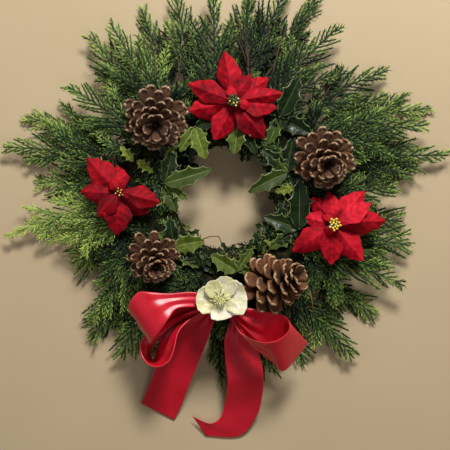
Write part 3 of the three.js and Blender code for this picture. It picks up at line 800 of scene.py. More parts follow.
def add_plume(twigs, draw, line, length, fresh, reach, pitch=10.0, start=0.0):
    """A main twig along line(s), s in millimetres, with branches on both sides to its tip."""
    steps = 12
    main = [line(start + (length - start) * i / steps) for i in range(steps + 1)]
    sizes = [along_stops([(0, 0.4), (0.7, 0.8), (1, 0.65)], i / steps) for i in range(steps + 1)]
    twigs.add(main, UP, sizes, fresh, 1.3)
    s, sign = start + draw.uniform(0, pitch), 1
    while s < length - 6:
        share = (s - start) / (length - start)
        here, ahead = line(s), line(s + 2)
        way = (ahead - here).normalized()
        side = UP.cross(way).normalized() * sign
        angle = math.radians(draw.uniform(30, 44) - 10 * share)
        tilt = draw.uniform(-0.14, 0.22)
        go = (way * math.cos(angle) + side * math.sin(angle) + UP * tilt).normalized()
        plane = (UP + side * draw.uniform(-0.45, 0.25)).normalized()
        long = reach * min(1, 0.55 + 1.5 * share) * min(1, 0.20 + 1.25 * (1 - share))
        long *= draw.uniform(0.7, 1.35)
        # Darker towards the plume's foot and greener towards its tip: partly the lighter new
        # growth, partly painted shade inside the spray.
        green = fresh - 0.32 + 0.72 * share + draw.uniform(-0.2, 0.2)
        add_branch(twigs, here, go, plane, long, green, draw.uniform(0.75, 1.05),
                   draw.uniform(0, 5), -sign * draw.uniform(0.02, 0.24))
        s += pitch / 2
        sign = -sign


def side_line(storey, foot, forward, rise, settle):
    """The line of a side plume, which leaves its storey's height within settle millimetres."""
    def line(s):
        place = foot + forward * s
        place.z = storey_height(storey, place.length) + rise * smooth(s / settle)
        return place

    return line


def spray_twigs(number, angle, heading, length, storey, fresh):
    """A cypress spray from the ring outwards, with side plumes at its foot and further out."""
    draw = random.Random(100 + number)
    root = polar(SPRAY_ROOT, angle)
    way, side = polar(1, heading), polar(1, heading + 90)
    bend = draw.uniform(-0.0005, 0.0005) - 0.0007 * math.cos(math.radians(heading))
    top = storey == len(STOREYS) - 1
    start = 0.0
    while not top and (root + way * start).length < MOSS_EDGE:
        start += 1.0

    def line(s):
        place = root + way * s + side * (bend * s * (s - length))
        place.z = storey_height(storey, place.length)
        return place

    twigs = Twigs()
    reach = REACH * NARROW_SPRAYS.get(number, 1)
    hang = HANGING_SPRAYS.get(number, 0)
    add_plume(twigs, draw, line, length, fresh, reach, start=start + (4 if top else 0))
    for sign in (-1, 1):
        forward = polar(1, heading + sign * draw.uniform(13, 24) + hang)
        room = (length - start) * draw.uniform(0.42, 0.68)
        beside = side_line(storey, line(start + 6), forward, draw.uniform(-2.5, 4.5), 30)
        add_plume(twigs, draw, beside, room, fresh - 0.05, reach * 0.65, pitch=11.0)
    for sign in (-1, 1):
        part = start + (length - start) * draw.uniform(0.2, 0.5)
        forward = polar(1, heading + sign * draw.uniform(20, 42) + hang * 1.3)
        room = (length - part) * draw.uniform(0.45, 0.75)
        beyond = side_line(storey, line(part), forward, draw.uniform(-2, 5), 20)
        add_plume(twigs, draw, beyond, room, fresh + draw.uniform(-0.1, 0.15), reach * 0.45)
    return twigs


# Sprigs that show through the bow's lower loop: foot and tip.
UNDER_BOW = [((-52, -146, 22), (-98, -203, 9)), ((-72, -150, 20), (-116, -188, 12)),
             ((-38, -150, 24), (-66, -212, 9))]


def bow_twigs():
    draw = random.Random(500)
    twigs = Twigs()
    for foot, tip in UNDER_BOW:
        foot, tip = Vector(foot), Vector(tip)
        length = (tip - foot).length
        add_plume(twigs, draw, lambda s: foot.lerp(tip, s / length), length, 0.25, **SHORT)
    return twigs


# Points along a curled tendril and a dry brown needle.
DRY_NEEDLES = [
    [(-37, -60, 44), (-30, -53, 49), (-20, -49, 50), (-9, -49, 47), (-6, -56, 44)],
    [(103, -116, 58), (106, -130, 59), (108, -149, 55)],
]
SHORT_NEEDLES = 26
BARE_TWIGS = 26


def make_bare_twigs():
    """Fine leafless twigs that stick out between the sprays, mostly at the top."""
    draw = random.Random(88)
    shape = Shape()
    for _ in range(BARE_TWIGS):
        angle = draw.uniform(45, 130)
        place = polar(draw.uniform(135, 170), angle) + UP * draw.uniform(26, 50)
        heading, bend = angle + draw.uniform(-38, 38), draw.uniform(-9, 9)
        line = [place]
        for _ in range(6):
            place = place + polar(draw.uniform(9, 13), heading) - UP * draw.uniform(0, 2.4)
            heading += bend + draw.uniform(-7, 7)
            line.append(place)
            if draw.random() < 0.5:
                side = polar(1, heading + draw.choice((-42, 42)))
                tip = place + side * draw.uniform(9, 16) + UP * draw.uniform(-2, 3)
                shape.bar([place, place.lerp(tip, 0.5) + UP, tip], [0.6, 0.5, 0.3], 4)
        shape.bar(line, [0.9 - 0.1 * i for i in range(len(line))], 5)
    add_dry_needles(shape, draw)
    add_piece("bare_twigs", shape.mesh("bare_twigs", [BARK, DRY_NEEDLE]), "cypress")


def add_dry_needles(shape, draw):
    for line in DRY_NEEDLES:
        radii = [0.8] * (len(line) - 1) + [0.4]
        shape.bar([Vector(point) for point in line], radii, 5, finish=1)
    for _ in range(SHORT_NEEDLES):  # over the moss at the foot of the hole
        foot = Vector((draw.uniform(-16, 30), draw.uniform(-88, -74), draw.uniform(45, 49)))
        way = polar(draw.uniform(8, 14), draw.uniform(40, 140))
        line = [foot, foot + way * 0.5 + UP * 3, foot + way + UP * draw.uniform(0, 3)]
        shape.bar(line, [0.5, 0.5, 0.3], 4, finish=1)


def make_cypress():
    rule = foliage_rule()
    shoot = cypress_shoot()

    def grow(name, twigs, seed):
        return settled(rule.run(twigs.mesh(name), name, Shoot=shoot, Finish=CYPRESS, Seed=seed,
                                **SHOOTS))

    for i, row in enumerate(SPRAYS):
        number = i + 1
        name = f"leafy_spray_{number:02d}"
        mesh = grow(name, spray_twigs(number, *row), number * 10)
        add_piece(name, mesh, "cypress", f"cypress_spray_{number:02d}")
    for quarter in range(4):
        name = f"ring_foliage_{quarter + 1}"
        mesh = grow(name, ring_twigs(quarter), 1000 + quarter * 10)
        add_piece(name, mesh, "cypress")
    add_piece("bow_foliage", grow("bow_foliage", bow_twigs(), 1100), "cypress")
    bpy.data.objects.remove(shoot)
    make_bare_twigs()


# ---- Moss ring -----------------------------------------------------------------------------
MOSS_RING = {"middle": 106, "half": 40, "edge": 146, "base": 3.95, "top": 46}
# The ring's section: across and up, each as a share from its middle line.
MOSS_SECTION = [(0.75, -1), (1, -0.25), (0.95, 0.4), (0.6, 0.85), (0, 1), (-0.6, 0.85),
                (-0.95, 0.4), (-1, -0.25), (-0.75, -1)]
TUCKED_TWIGS = 50  # in each quarter of the ring
PAST_MOSS = 34  # the height they keep beyond the moss


def moss_top(radius):
    """Height of the moss at a radius, over its front."""
    across = clamp(abs(radius - MOSS_RING["middle"]) / MOSS_RING["half"])
    up = along_stops([(0, 1), (0.6, 0.85), (0.95, 0.4), (1, -0.25)], across)
    middle = (MOSS_RING["base"] + MOSS_RING["top"]) / 2
    return middle + up * (MOSS_RING["top"] - middle)


def ring_twigs(quarter):
    """Short cypress tips tucked into the moss between the flowers, over a quarter of the ring."""
    draw = random.Random(400 + quarter)
    twigs = Twigs()
    for _ in range(TUCKED_TWIGS):
        angle = quarter * 90 + draw.uniform(0, 90)
        radius = draw.uniform(72, MOSS_RING["edge"])
        if radius > 95:
            turn = draw.uniform(-70, 70)
        else:  # near the hole they lie along the ring
            turn = draw.uniform(60, 120) * draw.choice((-1, 1))
        forward = polar(1, angle + turn)
        foot = polar(radius, angle)
        foot.z = moss_top(radius) - 3
        length = draw.uniform(26, 44)
        rise = draw.uniform(4, 9)

        def line(s):
            place = foot + forward * s
            on_moss = place.length < MOSS_RING["edge"]
            ground = moss_top(place.length) if on_moss else PAST_MOSS
            bow = rise * math.sin(s / length * 2.2)
            place.z = max(foot.z, min(ground, foot.z + 3) - 2) + bow
            return place

        add_plume(twigs, draw, line, length, draw.uniform(-0.05, 0.4), **SHORT)
    return twigs


def moss_base():
    """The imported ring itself: a lumpy closed tube over the frame."""
    rounds, across = 168, 5
    section = []
    for (a, b), (c, d) in zip(MOSS_SECTION, MOSS_SECTION[1:] + MOSS_SECTION[:1]):
        section += [(lerp(a, c, k / across), lerp(b, d, k / across)) for k in range(across)]
    middle = (MOSS_RING["base"] + MOSS_RING["top"]) / 2
    points = []
    for i in range(rounds):
        angle = 360 * i / rounds
        for out, up in section:
            flat = polar(MOSS_RING["middle"] + out * MOSS_RING["half"], angle)
            place = Vector((flat.x, flat.y, middle + up * (MOSS_RING["top"] - middle)))
            lump = noise.fractal(place / 9, 1.0, 2.0, 4) * 2.2 if up > -1 else 0.0
            points.append(place + (flat.normalized() * out + UP * max(0, up)) * lump)
    faces = [[corner % len(points) for corner in face]  # the last ring is the first again
             for face in turned(ring_faces(rounds + 1, len(section)))]
    return plain_mesh("moss", points, [], faces)


def tuft_rule():
    """Moss fibres standing on a surface, leaning at random."""
    rule = Rule("moss_fibres", Fibre="Object", Finish="Material", Density="Float", Seed="Int")
    seed = rule.given("Seed")
    spread = rule.node("GeometryNodeDistributePointsOnFaces",
                       inputs={"Mesh": rule.given("Geometry"), "Density": rule.given("Density"),
                               "Seed": seed}, output="Points")
    normal = Value(rule.tree, spread.output.node.outputs["Normal"])
    lean = rule.xyz(X=rule.draw(-0.9, 0.9, seed + 1.0), Y=rule.draw(-0.9, 0.9, seed + 2.0),
                    Z=rule.draw(-0.5, 0.6, seed + 3.0))
    facing = rule.facing(rule.vector("ADD", normal, lean), lean)
    size = rule.draw(0.4, 1.0, seed + 4.0)
    rule.end(rule.given("Geometry"), rule.repeat("Fibre", spread, facing, size))
    return rule


def moss_fibre():
    """A bent strand along +X, 6 mm long."""
    line = ((0, 0, 0), (2.2, 0, 0.5), (4.4, 0.2, 0.3), (6, 0.2, -0.7))
    shape = Shape()
    shape.bar([Vector(point) for point in line], [0.4, 0.38, 0.3, 0.1], 3)
    return shape.pattern("moss_fibre")


def make_moss():
    base = moss_base()
    fibre = moss_fibre()
    made = tuft_rule().run(base, "moss", Fibre=fibre, Finish=MOSS, Density=0.045, Seed=5)
    add_piece("packed_moss", settled(made), "moss", "moss_ring")
    bpy.data.objects.remove(fibre)
    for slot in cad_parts["wire_frame"].material_slots:
        slot.material = WIRE


# ---- Holly ---------------------------------------------------------------------------------
# Each sprig: foot and height of its stem, then its leaves: heading, length, width, rise, and
# how far the pale side shows.
SPRIGS = [
    ((-76, 16, 51), [(14, 60, 27, 2, 0.7), (75, 44, 24, 3, 0.1), (290, 38, 22, 1, 0.6)]),
    ((-38, 86, 52), [(285, 42, 26, 1, 1.1), (236, 36, 20, 2, 1), (22, 38, 22, 1, 0)]),
    ((14, 92, 52), [(268, 40, 26, 0, 0.9), (338, 36, 22, 1, 0.1), (305, 46, 20, 0, 0)]),
    ((66, 98, 52), [(60, 54, 28, 5, 0), (330, 44, 26, -1, 0), (250, 36, 20, 1, 0.7)]),
    ((76, 30, 51), [(204, 54, 24, 2, 0.5), (134, 42, 24, 2, 0), (84, 44, 26, 1, 0)]),
    ((90, -40, 51), [(88, 60, 34, 1, 0), (160, 46, 24, 1, 0.15), (215, 44, 22, 0, 0.8)]),
    ((14, -92, 54), [(60, 34, 22, 0, 0.9), (152, 38, 26, 1, 1), (8, 28, 18, 0, 0.7)]),
    ((-64, -62, 51), [(14, 38, 28, 2, 1), (100, 36, 22, 2, 0), (322, 40, 24, 1, 0.9)]),
]
HOLLY_SPINES = 3
LEAF_THICK = 0.7


def holly_half(share, width, bays):
    """Half the leaf's width: it swells to the middle, with bays between its spines."""
    body = math.sin(math.pi * clamp(0.07 + 0.9 * share ** 0.85)) ** 0.8
    beat = abs(math.sin(math.pi * (HOLLY_SPINES + 0.5) * share))
    reach = 1.08 - bays + 1.1 * bays * (1 - beat) ** 2.3
    return max(0.35, width / 2 * body * reach * min(1, share * 9 + 0.12))


def add_holly_leaf(shape, draw, foot, heading, length, width, rise, pale):
    way, side = polar(1, heading), polar(1, heading + 90)
    swing = draw.uniform(-0.0018, 0.0018)
    wave = draw.uniform(1.6, 2.8)
    turn = draw.uniform(-0.16, 0.16)
    bays = draw.uniform(0.3, 0.4) if length > 35 else draw.uniform(0.5, 0.66)
    fold = draw.uniform(0.26, 0.5)
    rows, columns = 34, 9
    grid, across, along = [], [], []
    for i in range(rows):
        share = i / (rows - 1)
        s = share * length
        half = holly_half(share, width, bays)
        ripple = math.cos(math.pi * (HOLLY_SPINES + 0.5) * share)
        row = []
        for j in range(columns):
            v = 2 * j / (columns - 1) - 1
            t = v * half
            lift = rise * math.sin(0.7 * math.pi * share) + abs(t) * fold + turn * t
            lift += wave * ripple * v * v * math.sin(math.pi * min(1, share * 1.2))
            place = foot + way * s + side * (t + swing * s * s)
            row.append(place + UP * lift)
            across.append(v)
            along.append(share)
        grid.append(row)
    shape.thin(grid, LEAF_THICK, across=across, along=along, pale=pale)


def make_holly():
    for number, ((x, y, z), leaves) in enumerate(SPRIGS, start=1):
        draw = random.Random(700 + number)
        shape = Shape("across", "along", "pale")
        shape.post(x, y, (z - 22, z - 8, z + 6), [1.6, 1.5, 1.2], finish=1, pale=0.5)
        for i, (heading, length, width, rise, pale) in enumerate(leaves):
            foot = Vector((x, y, z + 4 - 3 * i))
            add_holly_leaf(shape, draw, foot, heading, length, width, rise, pale)
        for k in range(2):
            heading = leaves[k][0] + draw.uniform(38, 60) * (1 if k else -1)
            foot = Vector((x, y, z + 2.6 - 3 * k))
            add_holly_leaf(shape, draw, foot, heading, draw.uniform(26, 34),
                           draw.uniform(16, 20), draw.uniform(-3, 1), draw.choice((0, 0.9)))
        mesh = shape.mesh(f"holly_{number}", [HOLLY, BARK])
        add_piece(f"holly_leaves_{number}", mesh, "holly", f"holly_sprig_{number}")
    make_rim_leaves()


# More small leaves between the cones and flowers: foot, heading, length, pale or dark.
SMALL_LEAVES = [
    ((-114, 43, 54), 130, 25, 1.3), ((-110, 45, 54), 325, 26, 1.3), ((-76, 50, 52), 40, 20, 1.2),
    ((-92, 48, 50), 250, 30, 0), ((-72, 46, 49), 310, 28, 0), ((-98, 34, 51), 15, 30, 0),
    ((-106, 58, 50), 205, 30, 0), ((-84, 62, 48), 330, 28, 0), ((-60, 66, 48), 220, 26, 0),
    ((84, 10, 50), 190, 24, 1.2), ((88, 6, 50), 250, 26, 0), ((70, 50, 50), 200, 28, 0),
    ((24, -74, 49), 70, 24, 0), ((44, -68, 50), 110, 26, 0), ((-30, -86, 50), 120, 26, 0),
]
RIM_LEAVES = 56
RIGHT_LEAVES = 30
RIGHT_SIDE = (-62, 72)  # degrees round the ring


def make_rim_leaves():
    """Small spiny holly leaves round the inner side of the ring, over the moss."""
    draw = random.Random(77)
    shape = Shape("across", "along", "pale")
    for k in range(RIM_LEAVES):
        angle = 360 * k / RIM_LEAVES + draw.uniform(-6, 6)
        radius = draw.uniform(75, 96)
        height = min(moss_top(radius), 45) + draw.uniform(1, 6)
        if radius < 84:
            height = draw.uniform(18, 46)
        length = draw.uniform(19, 31)
        pale = 1 if draw.random() < 0.22 else 0
        add_holly_leaf(shape, draw, polar(radius, angle) + UP * height,
                       angle + 180 + draw.uniform(-80, 80), length,
                       length * draw.uniform(0.5, 0.66), draw.uniform(-4, 5), pale)
    for k in range(RIGHT_LEAVES):  # more of them on the hole's right side
        angle = lerp(*RIGHT_SIDE, (k + draw.random()) / RIGHT_LEAVES)
        length = draw.uniform(19, 29)
        foot = polar(draw.uniform(70, 86), angle) + UP * draw.uniform(20, 48)
        add_holly_leaf(shape, draw, foot, angle + 180 + draw.uniform(-75, 75), length,
                       length * draw.uniform(0.55, 0.75), draw.uniform(-5, 6),
                       1.2 if k % 7 == 3 else 0)
    for foot, heading, length, pale in SMALL_LEAVES:
        add_holly_leaf(shape, draw, Vector(foot), heading, length,
                       length * draw.uniform(0.58, 0.7), draw.uniform(1, 5), pale)
    add_piece("holly_rim_leaves", shape.mesh("rim_leaves", [HOLLY]), "holly")


# ---- Pine cones ----------------------------------------------------------------------------
CONE = {"core": 9, "stalk": 3.2, "foot": 36}
# The core's width at heights up it; the first stands a millimetre under its base.
CORE = [(-1, 0.5), (0, 0.7), (0.15, 0.85), (0.3, 1.0), (0.55, 0.95), (0.8, 0.7), (0.95, 0.15)]
CONE_SCALES = 43
GOLDEN_ANGLE = 137.5
# Each cone: middle of its base, reach of its widest scales, length, the way its tip leans, how
# far its lowest and its topmost scales stand up (degrees), how broad they are, and warmth.
CONES = {
    "pine_cone_upper_left": ((-86, 99, 52), 41, 58, (0.05, -0.36, 1), -12, 46, 1.0, 0.2),
    "pine_cone_upper_right": ((119, 50, 50), 39, 58, (0.05, -0.30, 1), -8, 52, 1.0, 0.4),
    "pine_cone_lower_left": ((-92, -72, 50), 33, 58, (0.2, -0.3, 1), -8, 54, 1.0, 0.45),
    "pine_cone_lower_right": ((45, -109, 67), 37, 64, (1, 0.3, 0.85), -16, 40, 1.4, 0.95),
}


def cone_scale():
    """A woody scale along +X, 10 mm long: thin at its foot, with a thick ridged rim."""
    shape = Shape("rim")
    outline = [(0, 0.7), (0.3, 0.95), (0.58, 1.55), (0.78, 1.92), (0.92, 1.75), (0.98, 1.2),
               (1.0, 0.5)]
    # Low at each scale's foot, where the near-black colour is painted shade between the scales, and
    # high at its pale rim.
    shade_to_pale_rim = [0, 0.2, 0.36, 0.44, 0.48, 0.72, 1.0]
    grid, rim = [], []
    for (share, half), pale in zip(outline, shade_to_pale_rim):
        row = []
        for j in range(5):
            v = j / 2 - 1
            cup = 0.55 * v * v * share + 0.5 * share * share
            row.append(Vector((10 * share - 0.5 * share * v * v, half * v, cup)))
            rim.append(clamp(pale + 0.10 * abs(v) ** 3 * share))
        grid.append(row)

    def thick(i, j):
        share = outline[i][0]
        swell = smooth((share - 0.5) / 0.4)
        return 0.10, 0.20 + swell * (0.55 - 0.2 * abs(j / 2 - 1))

    shape.thin(grid, thick, rim=rim)
    return shape.pattern("cone_scale")


def cone_rule():
    """Scales in a golden-angle spiral up a cone, from wide and flat to small and upright."""
    rule = Rule("cone_spiral", Scale_piece="Object", Finish="Material", Count="Int",
                Length="Float", Reach="Float", Broad="Float", Flat="Float", Upright="Float",
                Warmth="Float", Seed="Int")
    seed = rule.given("Seed")
    count = rule.given("Count")
    line = rule.node("GeometryNodeMeshLine", inputs={"Count": count})
    index = rule.node("GeometryNodeInputIndex")
    share = (index + 0.5) / count
    height = rule.given("Length") * (share * 0.66 + 0.08)
    placed = rule.node("GeometryNodeSetPosition",
                       inputs={"Geometry": line, "Position": rule.xyz(Z=height)})
    turn = index * math.radians(GOLDEN_ANGLE) + rule.draw(-0.12, 0.12, seed)
    flat, reach = rule.given("Flat"), rule.given("Reach")
    open_by = flat + (share ** 1.2) * (rule.given("Upright") - flat)
    open_by = open_by + rule.draw(-0.08, 0.08, seed + 1.0)
    spin = rule.xyz(X=rule.draw(-0.12, 0.12, seed + 2.0), Y=open_by * -1.0, Z=turn)
    long = reach * (1.1 - share * 0.6).math("MINIMUM", 1.0)
    wide = reach * rule.given("Broad") * 0.094 * (1.0 - share * 0.2)
    size = rule.xyz(X=long * 0.1 * rule.draw(0.94, 1.04, seed + 3.0), Y=wide,
                    Z=3.1 * (1.0 - share * 0.3))
    spiral = rule.repeat("Scale_piece", placed, spin, size)
    warmth = rule.given("Warmth") + rule.draw(-0.15, 0.15, seed + 4.0)
    rule.end(rule.given("Geometry"), rule.stored(spiral, "warm", warmth))
    return rule


def cone_core(length):
    line = [UP * (h * length * 0.9 if h >= 0 else h) for h, _ in CORE]
    points, faces = round_bar(line, [width * CONE["core"] for _, width in CORE], 12)
    return plain_mesh("core", points, [], faces)


def make_cones():
    rule = cone_rule()
    scale = cone_scale()
    for number, (name, cone) in enumerate(CONES.items()):
        place, reach, length, lean, flat, upright, broad, warmth = cone
        mesh = rule.run(cone_core(length), name, Scale_piece=scale, Finish=CONE_WOOD,
                        Count=CONE_SCALES, Length=float(length), Reach=float(reach), Broad=broad,
                        Flat=math.radians(flat), Upright=math.radians(upright), Warmth=warmth,
                        Seed=20 + number * 7)
        leaning = Vector(lean).to_track_quat("Z", "X").to_matrix().to_4x4()
        mesh.transform(TO_FRAME @ Matrix.Translation(Vector(place)) @ leaning)
        x, y, z = place
        stalk = Shape()
        stalk.post(x, y, (CONE["foot"], (z + CONE["foot"]) / 2, z + 3), [CONE["stalk"]] * 3, 10)
        add_piece(f"{name}_scales", joined(name, [mesh, stalk.mesh("stalk", [BARK])]),
                  "pine_cone", name)
    bpy.data.objects.remove(scale)


def joined(name, meshes):
    """Several meshes as one, each keeping its finishes."""
    things = [shown(name, mesh) for mesh in meshes]
    with bpy.context.temp_override(active_object=things[0], selected_editable_objects=things):
        bpy.ops.object.join()
    mesh = things[0].data
    mesh.name = name
    bpy.data.objects.remove(things[0])
    return mesh


# ---- Cloth flowers -------------------------------------------------------------------------
# Each poinsettia: its middle, then its bracts: heading, length, width, storey.
POINSETTIAS = {
    "poinsettia_top": ((9, 115, 64), [
        (98, 64, 32, 0), (33, 52, 30, 0), (353, 54, 32, 0), (310, 58, 36, 0), (247, 52, 32, 0),
        (190, 56, 34, 0), (160, 60, 30, 1), (60, 40, 22, 1), (10, 62, 24, 1)]),
    "poinsettia_left": ((-129, 4, 64), [
        (135, 60, 36, 0), (178, 50, 30, 0), (265, 52, 36, 0), (325, 42, 34, 0), (350, 50, 30, 1),
        (95, 34, 26, 0), (225, 40, 26, 1)]),
    "poinsettia_right": ((131, -34, 64), [
        (8, 66, 34, 0), (308, 58, 34, 0), (265, 50, 32, 0), (215, 60, 32, 0), (168, 36, 24, 0),
        (130, 42, 24, 0), (100, 40, 24, 1), (50, 56, 30, 0), (28, 52, 26, 1)]),
}
BRACT_HALVES = [(0, 0.2), (0.25, 0.6), (0.53, 0.98), (0.8, 0.63), (0.94, 0.22), (1, 0.02)]
DISC = {"under": 3, "over": 11}
INNER_BRACTS = {"poinsettia_top": 2, "poinsettia_left": 2, "poinsettia_right": 3}
BRACT_TONES = {"poinsettia_top": -0.1, "poinsettia_left": -0.35, "poinsettia_right": 0.12}
PETAL_THICK = 0.7
FLOWER_STEM = [1.5] * 3


def add_petal(shape, length, width, halves, place, rows=30, columns=17, veins=6, fan=1.25,
              relief=0.35, tone=0.0):
    """A cloth petal with a midrib and pressed veins; place(s, t) sets a flat point in space."""
    grid, crease, along = [], [], []
    for i in range(rows):
        share = i / (rows - 1)
        half = max(0.25, along_stops(halves, share) * width / 2)
        row = []
        for j in range(columns):
            v = 2 * j / (columns - 1) - 1
            slant = share * veins - abs(v) * fan
            ridge = abs((slant % 1) - 0.5) * 2
            rib = max(0.0, 1 - abs(v) * 9)
            fade = clamp((1 - abs(v)) * 3) * clamp(share * 8) * clamp((1 - share) * 6)
            height = max(rib, (ridge ** 3) * 0.8) * fade
            row.append(place(share * length, v * half) + UP * (height * relief))
            # Paler on raised veins and darker in the folds between them as painted shade, shifted
            # by the petal's own tone.
            crease.append(clamp(0.45 + tone + 0.3 * height - 0.2 * (1 - ridge) * fade))
            along.append(share)
        grid.append(row)
    shape.thin(grid, PETAL_THICK, crease=crease, along=along)


def add_bract(shape, draw, tone, centre, heading, length, width, storey):
    way, side = polar(1, heading), polar(1, heading + 90)
    arch, roll = draw.uniform(3.5, 8), draw.uniform(-0.36, 0.36)
    curl = draw.uniform(-6, 6)
    swing = draw.uniform(-0.0014, 0.0014)
    fold = draw.uniform(0.15, 0.62)
    phase, wave = draw.uniform(0, 6.3), draw.uniform(0.6, 1.5)

    def place(s, t):
        share = s / length
        lift = storey * 6 + arch * math.sin(1.25 * math.pi * share) + curl * share ** 4
        lift += roll * t - abs(t) * fold + 0.018 * t * t * math.sin(2.2 * share + phase)
        lift += wave * math.sin(7 * share + phase + t * 0.1) * smooth(abs(t) / 12)
        return centre + way * s + side * (t + swing * s * s) + UP * lift

    add_petal(shape, length, width, BRACT_HALVES, place, tone=tone + draw.uniform(-0.3, 0.25))


def add_disc(shape, x, y, low, high, radius):
    """The boss in the middle of a flower."""
    radii = [radius * 0.8, radius, radius * 0.55]
    shape.post(x, y, (low, lerp(low, high, 0.5), high), radii, 14, crease=0.2)


def make_poinsettias():
    for number, (name, (centre, bracts)) in enumerate(POINSETTIAS.items()):
        draw = random.Random(900 + number)
        x, y, z = centre
        shape = Shape("crease", "along")
        add_disc(shape, x, y, z - DISC["under"], z + DISC["over"] - 2, 7)
        shape.post(x, y, (36, 50, z), FLOWER_STEM, finish=1)
        for bract in bracts:
            add_bract(shape, draw, BRACT_TONES[name], Vector(centre), *bract)
        for k in range(INNER_BRACTS[name]):
            heading = k * 120 + draw.uniform(-20, 20)
            add_bract(shape, draw, BRACT_TONES[name], Vector((x, y, z + 5)), heading,
                      draw.uniform(20, 28), draw.uniform(12, 15), 0.4)
        mesh = shape.mesh(name, [RED, BARK])
        add_piece(f"{name}_bracts", mesh, "red_cloth", name)


def add_stamens(shape, draw, centre, count, spread, high, size, finishes):
    """Stalks with a bead on each, in a spiral cluster."""
    for k in range(count):
        out = polar(spread * math.sqrt((k + 0.5) / count), k * GOLDEN_ANGLE)
        top = centre + out * 1.25 + UP * (high * draw.uniform(0.8, 1.1))
        shape.bar([centre + out * 0.6, top], [0.5, 0.45], 6)
        radius = size * draw.uniform(0.8, 1.15)
        shape.add(*bead(top + UP * radius * 0.5, radius), finish=draw.choice(finishes))


# Each poinsettia's stamens: whether a disc carries them, their count, spread, stalk and bead,
# their finishes, and which of those the beads draw from.
STAMENS = {
    "top": (True, 15, 6.6, 2.8, 1.35, [GREEN_BUD, GREEN_BUD, CREAM_BUD, YELLOW], (1, 1, 2, 3)),
    "right": (True, 16, 6.0, 2.8, 1.6, [GREEN_BUD, YELLOW, CREAM_BUD], (1, 1, 1, 2)),
    "left": (False, 7, 4.4, 3.4, 1.0, [GREEN_BUD, YELLOW, CREAM_BUD], (1, 1, 2)),
}


def make_stamens():
    draw = random.Random(40)
    for side, (on_disc, count, spread, stalk, size, finishes, picks) in STAMENS.items():
        x, y, z = POINSETTIAS[f"poinsettia_{side}"][0]
        shape = Shape()
        foot = z + DISC["over"]
        if on_disc:
            add_disc(shape, x, y, foot + 0.4, foot + 2.4, 7)
        middle = Vector((x, y, foot + 2 if on_disc else foot - 2))
        add_stamens(shape, draw, middle, count, spread, stalk, size, picks)
        nodes = [f"poinsettia_{side}_buds"] if on_disc else []
        add_piece(f"poinsettia_{side}_stamens", shape.mesh(f"{side}_buds", finishes), "buds",
                  *nodes)


# ---- Hellebore -----------------------------------------------------------------------------
HELLEBORE = Vector((-6, -125, 88))
STEM_ASIDE = 3.5  # its stem stands this far from its middle, clear of the knot
# Each petal: heading, length, width, rise, and how yellow or white it is.
HELLEBORE_PETALS = [(178, 30, 33, 3, -0.1), (12, 31, 42, 8, 0.2), (290, 23, 36, 0, 0.45),
                    (72, 30, 27, 8, 0.0), (122, 27, 21, 5, -0.15)]
LONG_STAMENS = 30
CUP_HALVES = [(0, 0.3), (0.2, 0.7), (0.45, 0.95), (0.7, 1), (0.9, 0.74), (1, 0.2)]


def make_hellebore():
    shape = Shape("crease", "along")
    draw = random.Random(60)
    x, y, z = HELLEBORE
    add_disc(shape, x, y, z - 3, z + 4, 6)
    shape.post(x, y + STEM_ASIDE, (38, 60, z), FLOWER_STEM, finish=1)
    for i, (heading, length, width, rise, tone) in enumerate(HELLEBORE_PETALS):
        way, side = polar(1, heading), polar(1, heading + 90)
        phase = draw.uniform(0, 6.3)

        def place(s, t):
            share = s / length
            lift = i * 1.1 - 1.5 + rise * share ** 2 + t * t * 0.011 * (1 + share)
            lift += 0.8 * math.sin(phase + t * 0.3) * share ** 3
            return HELLEBORE + way * s + side * t + UP * lift

        add_petal(shape, length, width, CUP_HALVES, place, veins=1.2, fan=4.5, relief=0.25,
                  tone=tone)
    add_piece("hellebore_petals", shape.mesh("hellebore", [CREAM, BARK]), "cream_cloth",
              "hellebore")
    centre = Shape()
    foot = Vector((x, y, z + 6.4))
    add_disc(centre, x, y, foot.z, foot.z + 2, 5.4)
    add_stamens(centre, draw, foot + UP * 1.6, 16, 4.6, 2.4, 0.75, (1, 1, 1, 2))
    for _ in range(LONG_STAMENS):  # fanned over the petals
        way = polar(1, draw.uniform(10, 205))
        reach = draw.uniform(8, 15)
        line = [foot + way * 3, foot + way * reach * 0.6 + UP * 3, foot + way * reach + UP * 3.6]
        centre.bar(line, [0.35, 0.3, 0.5], 5, finish=draw.choice((0, 0, 3)))
    mesh = centre.mesh("hellebore_centre", [CREAM_BUD, CREAM_BUD, YELLOW, GREEN_BUD])
    add_piece("hellebore_stamens", mesh, "buds", "hellebore_centre")


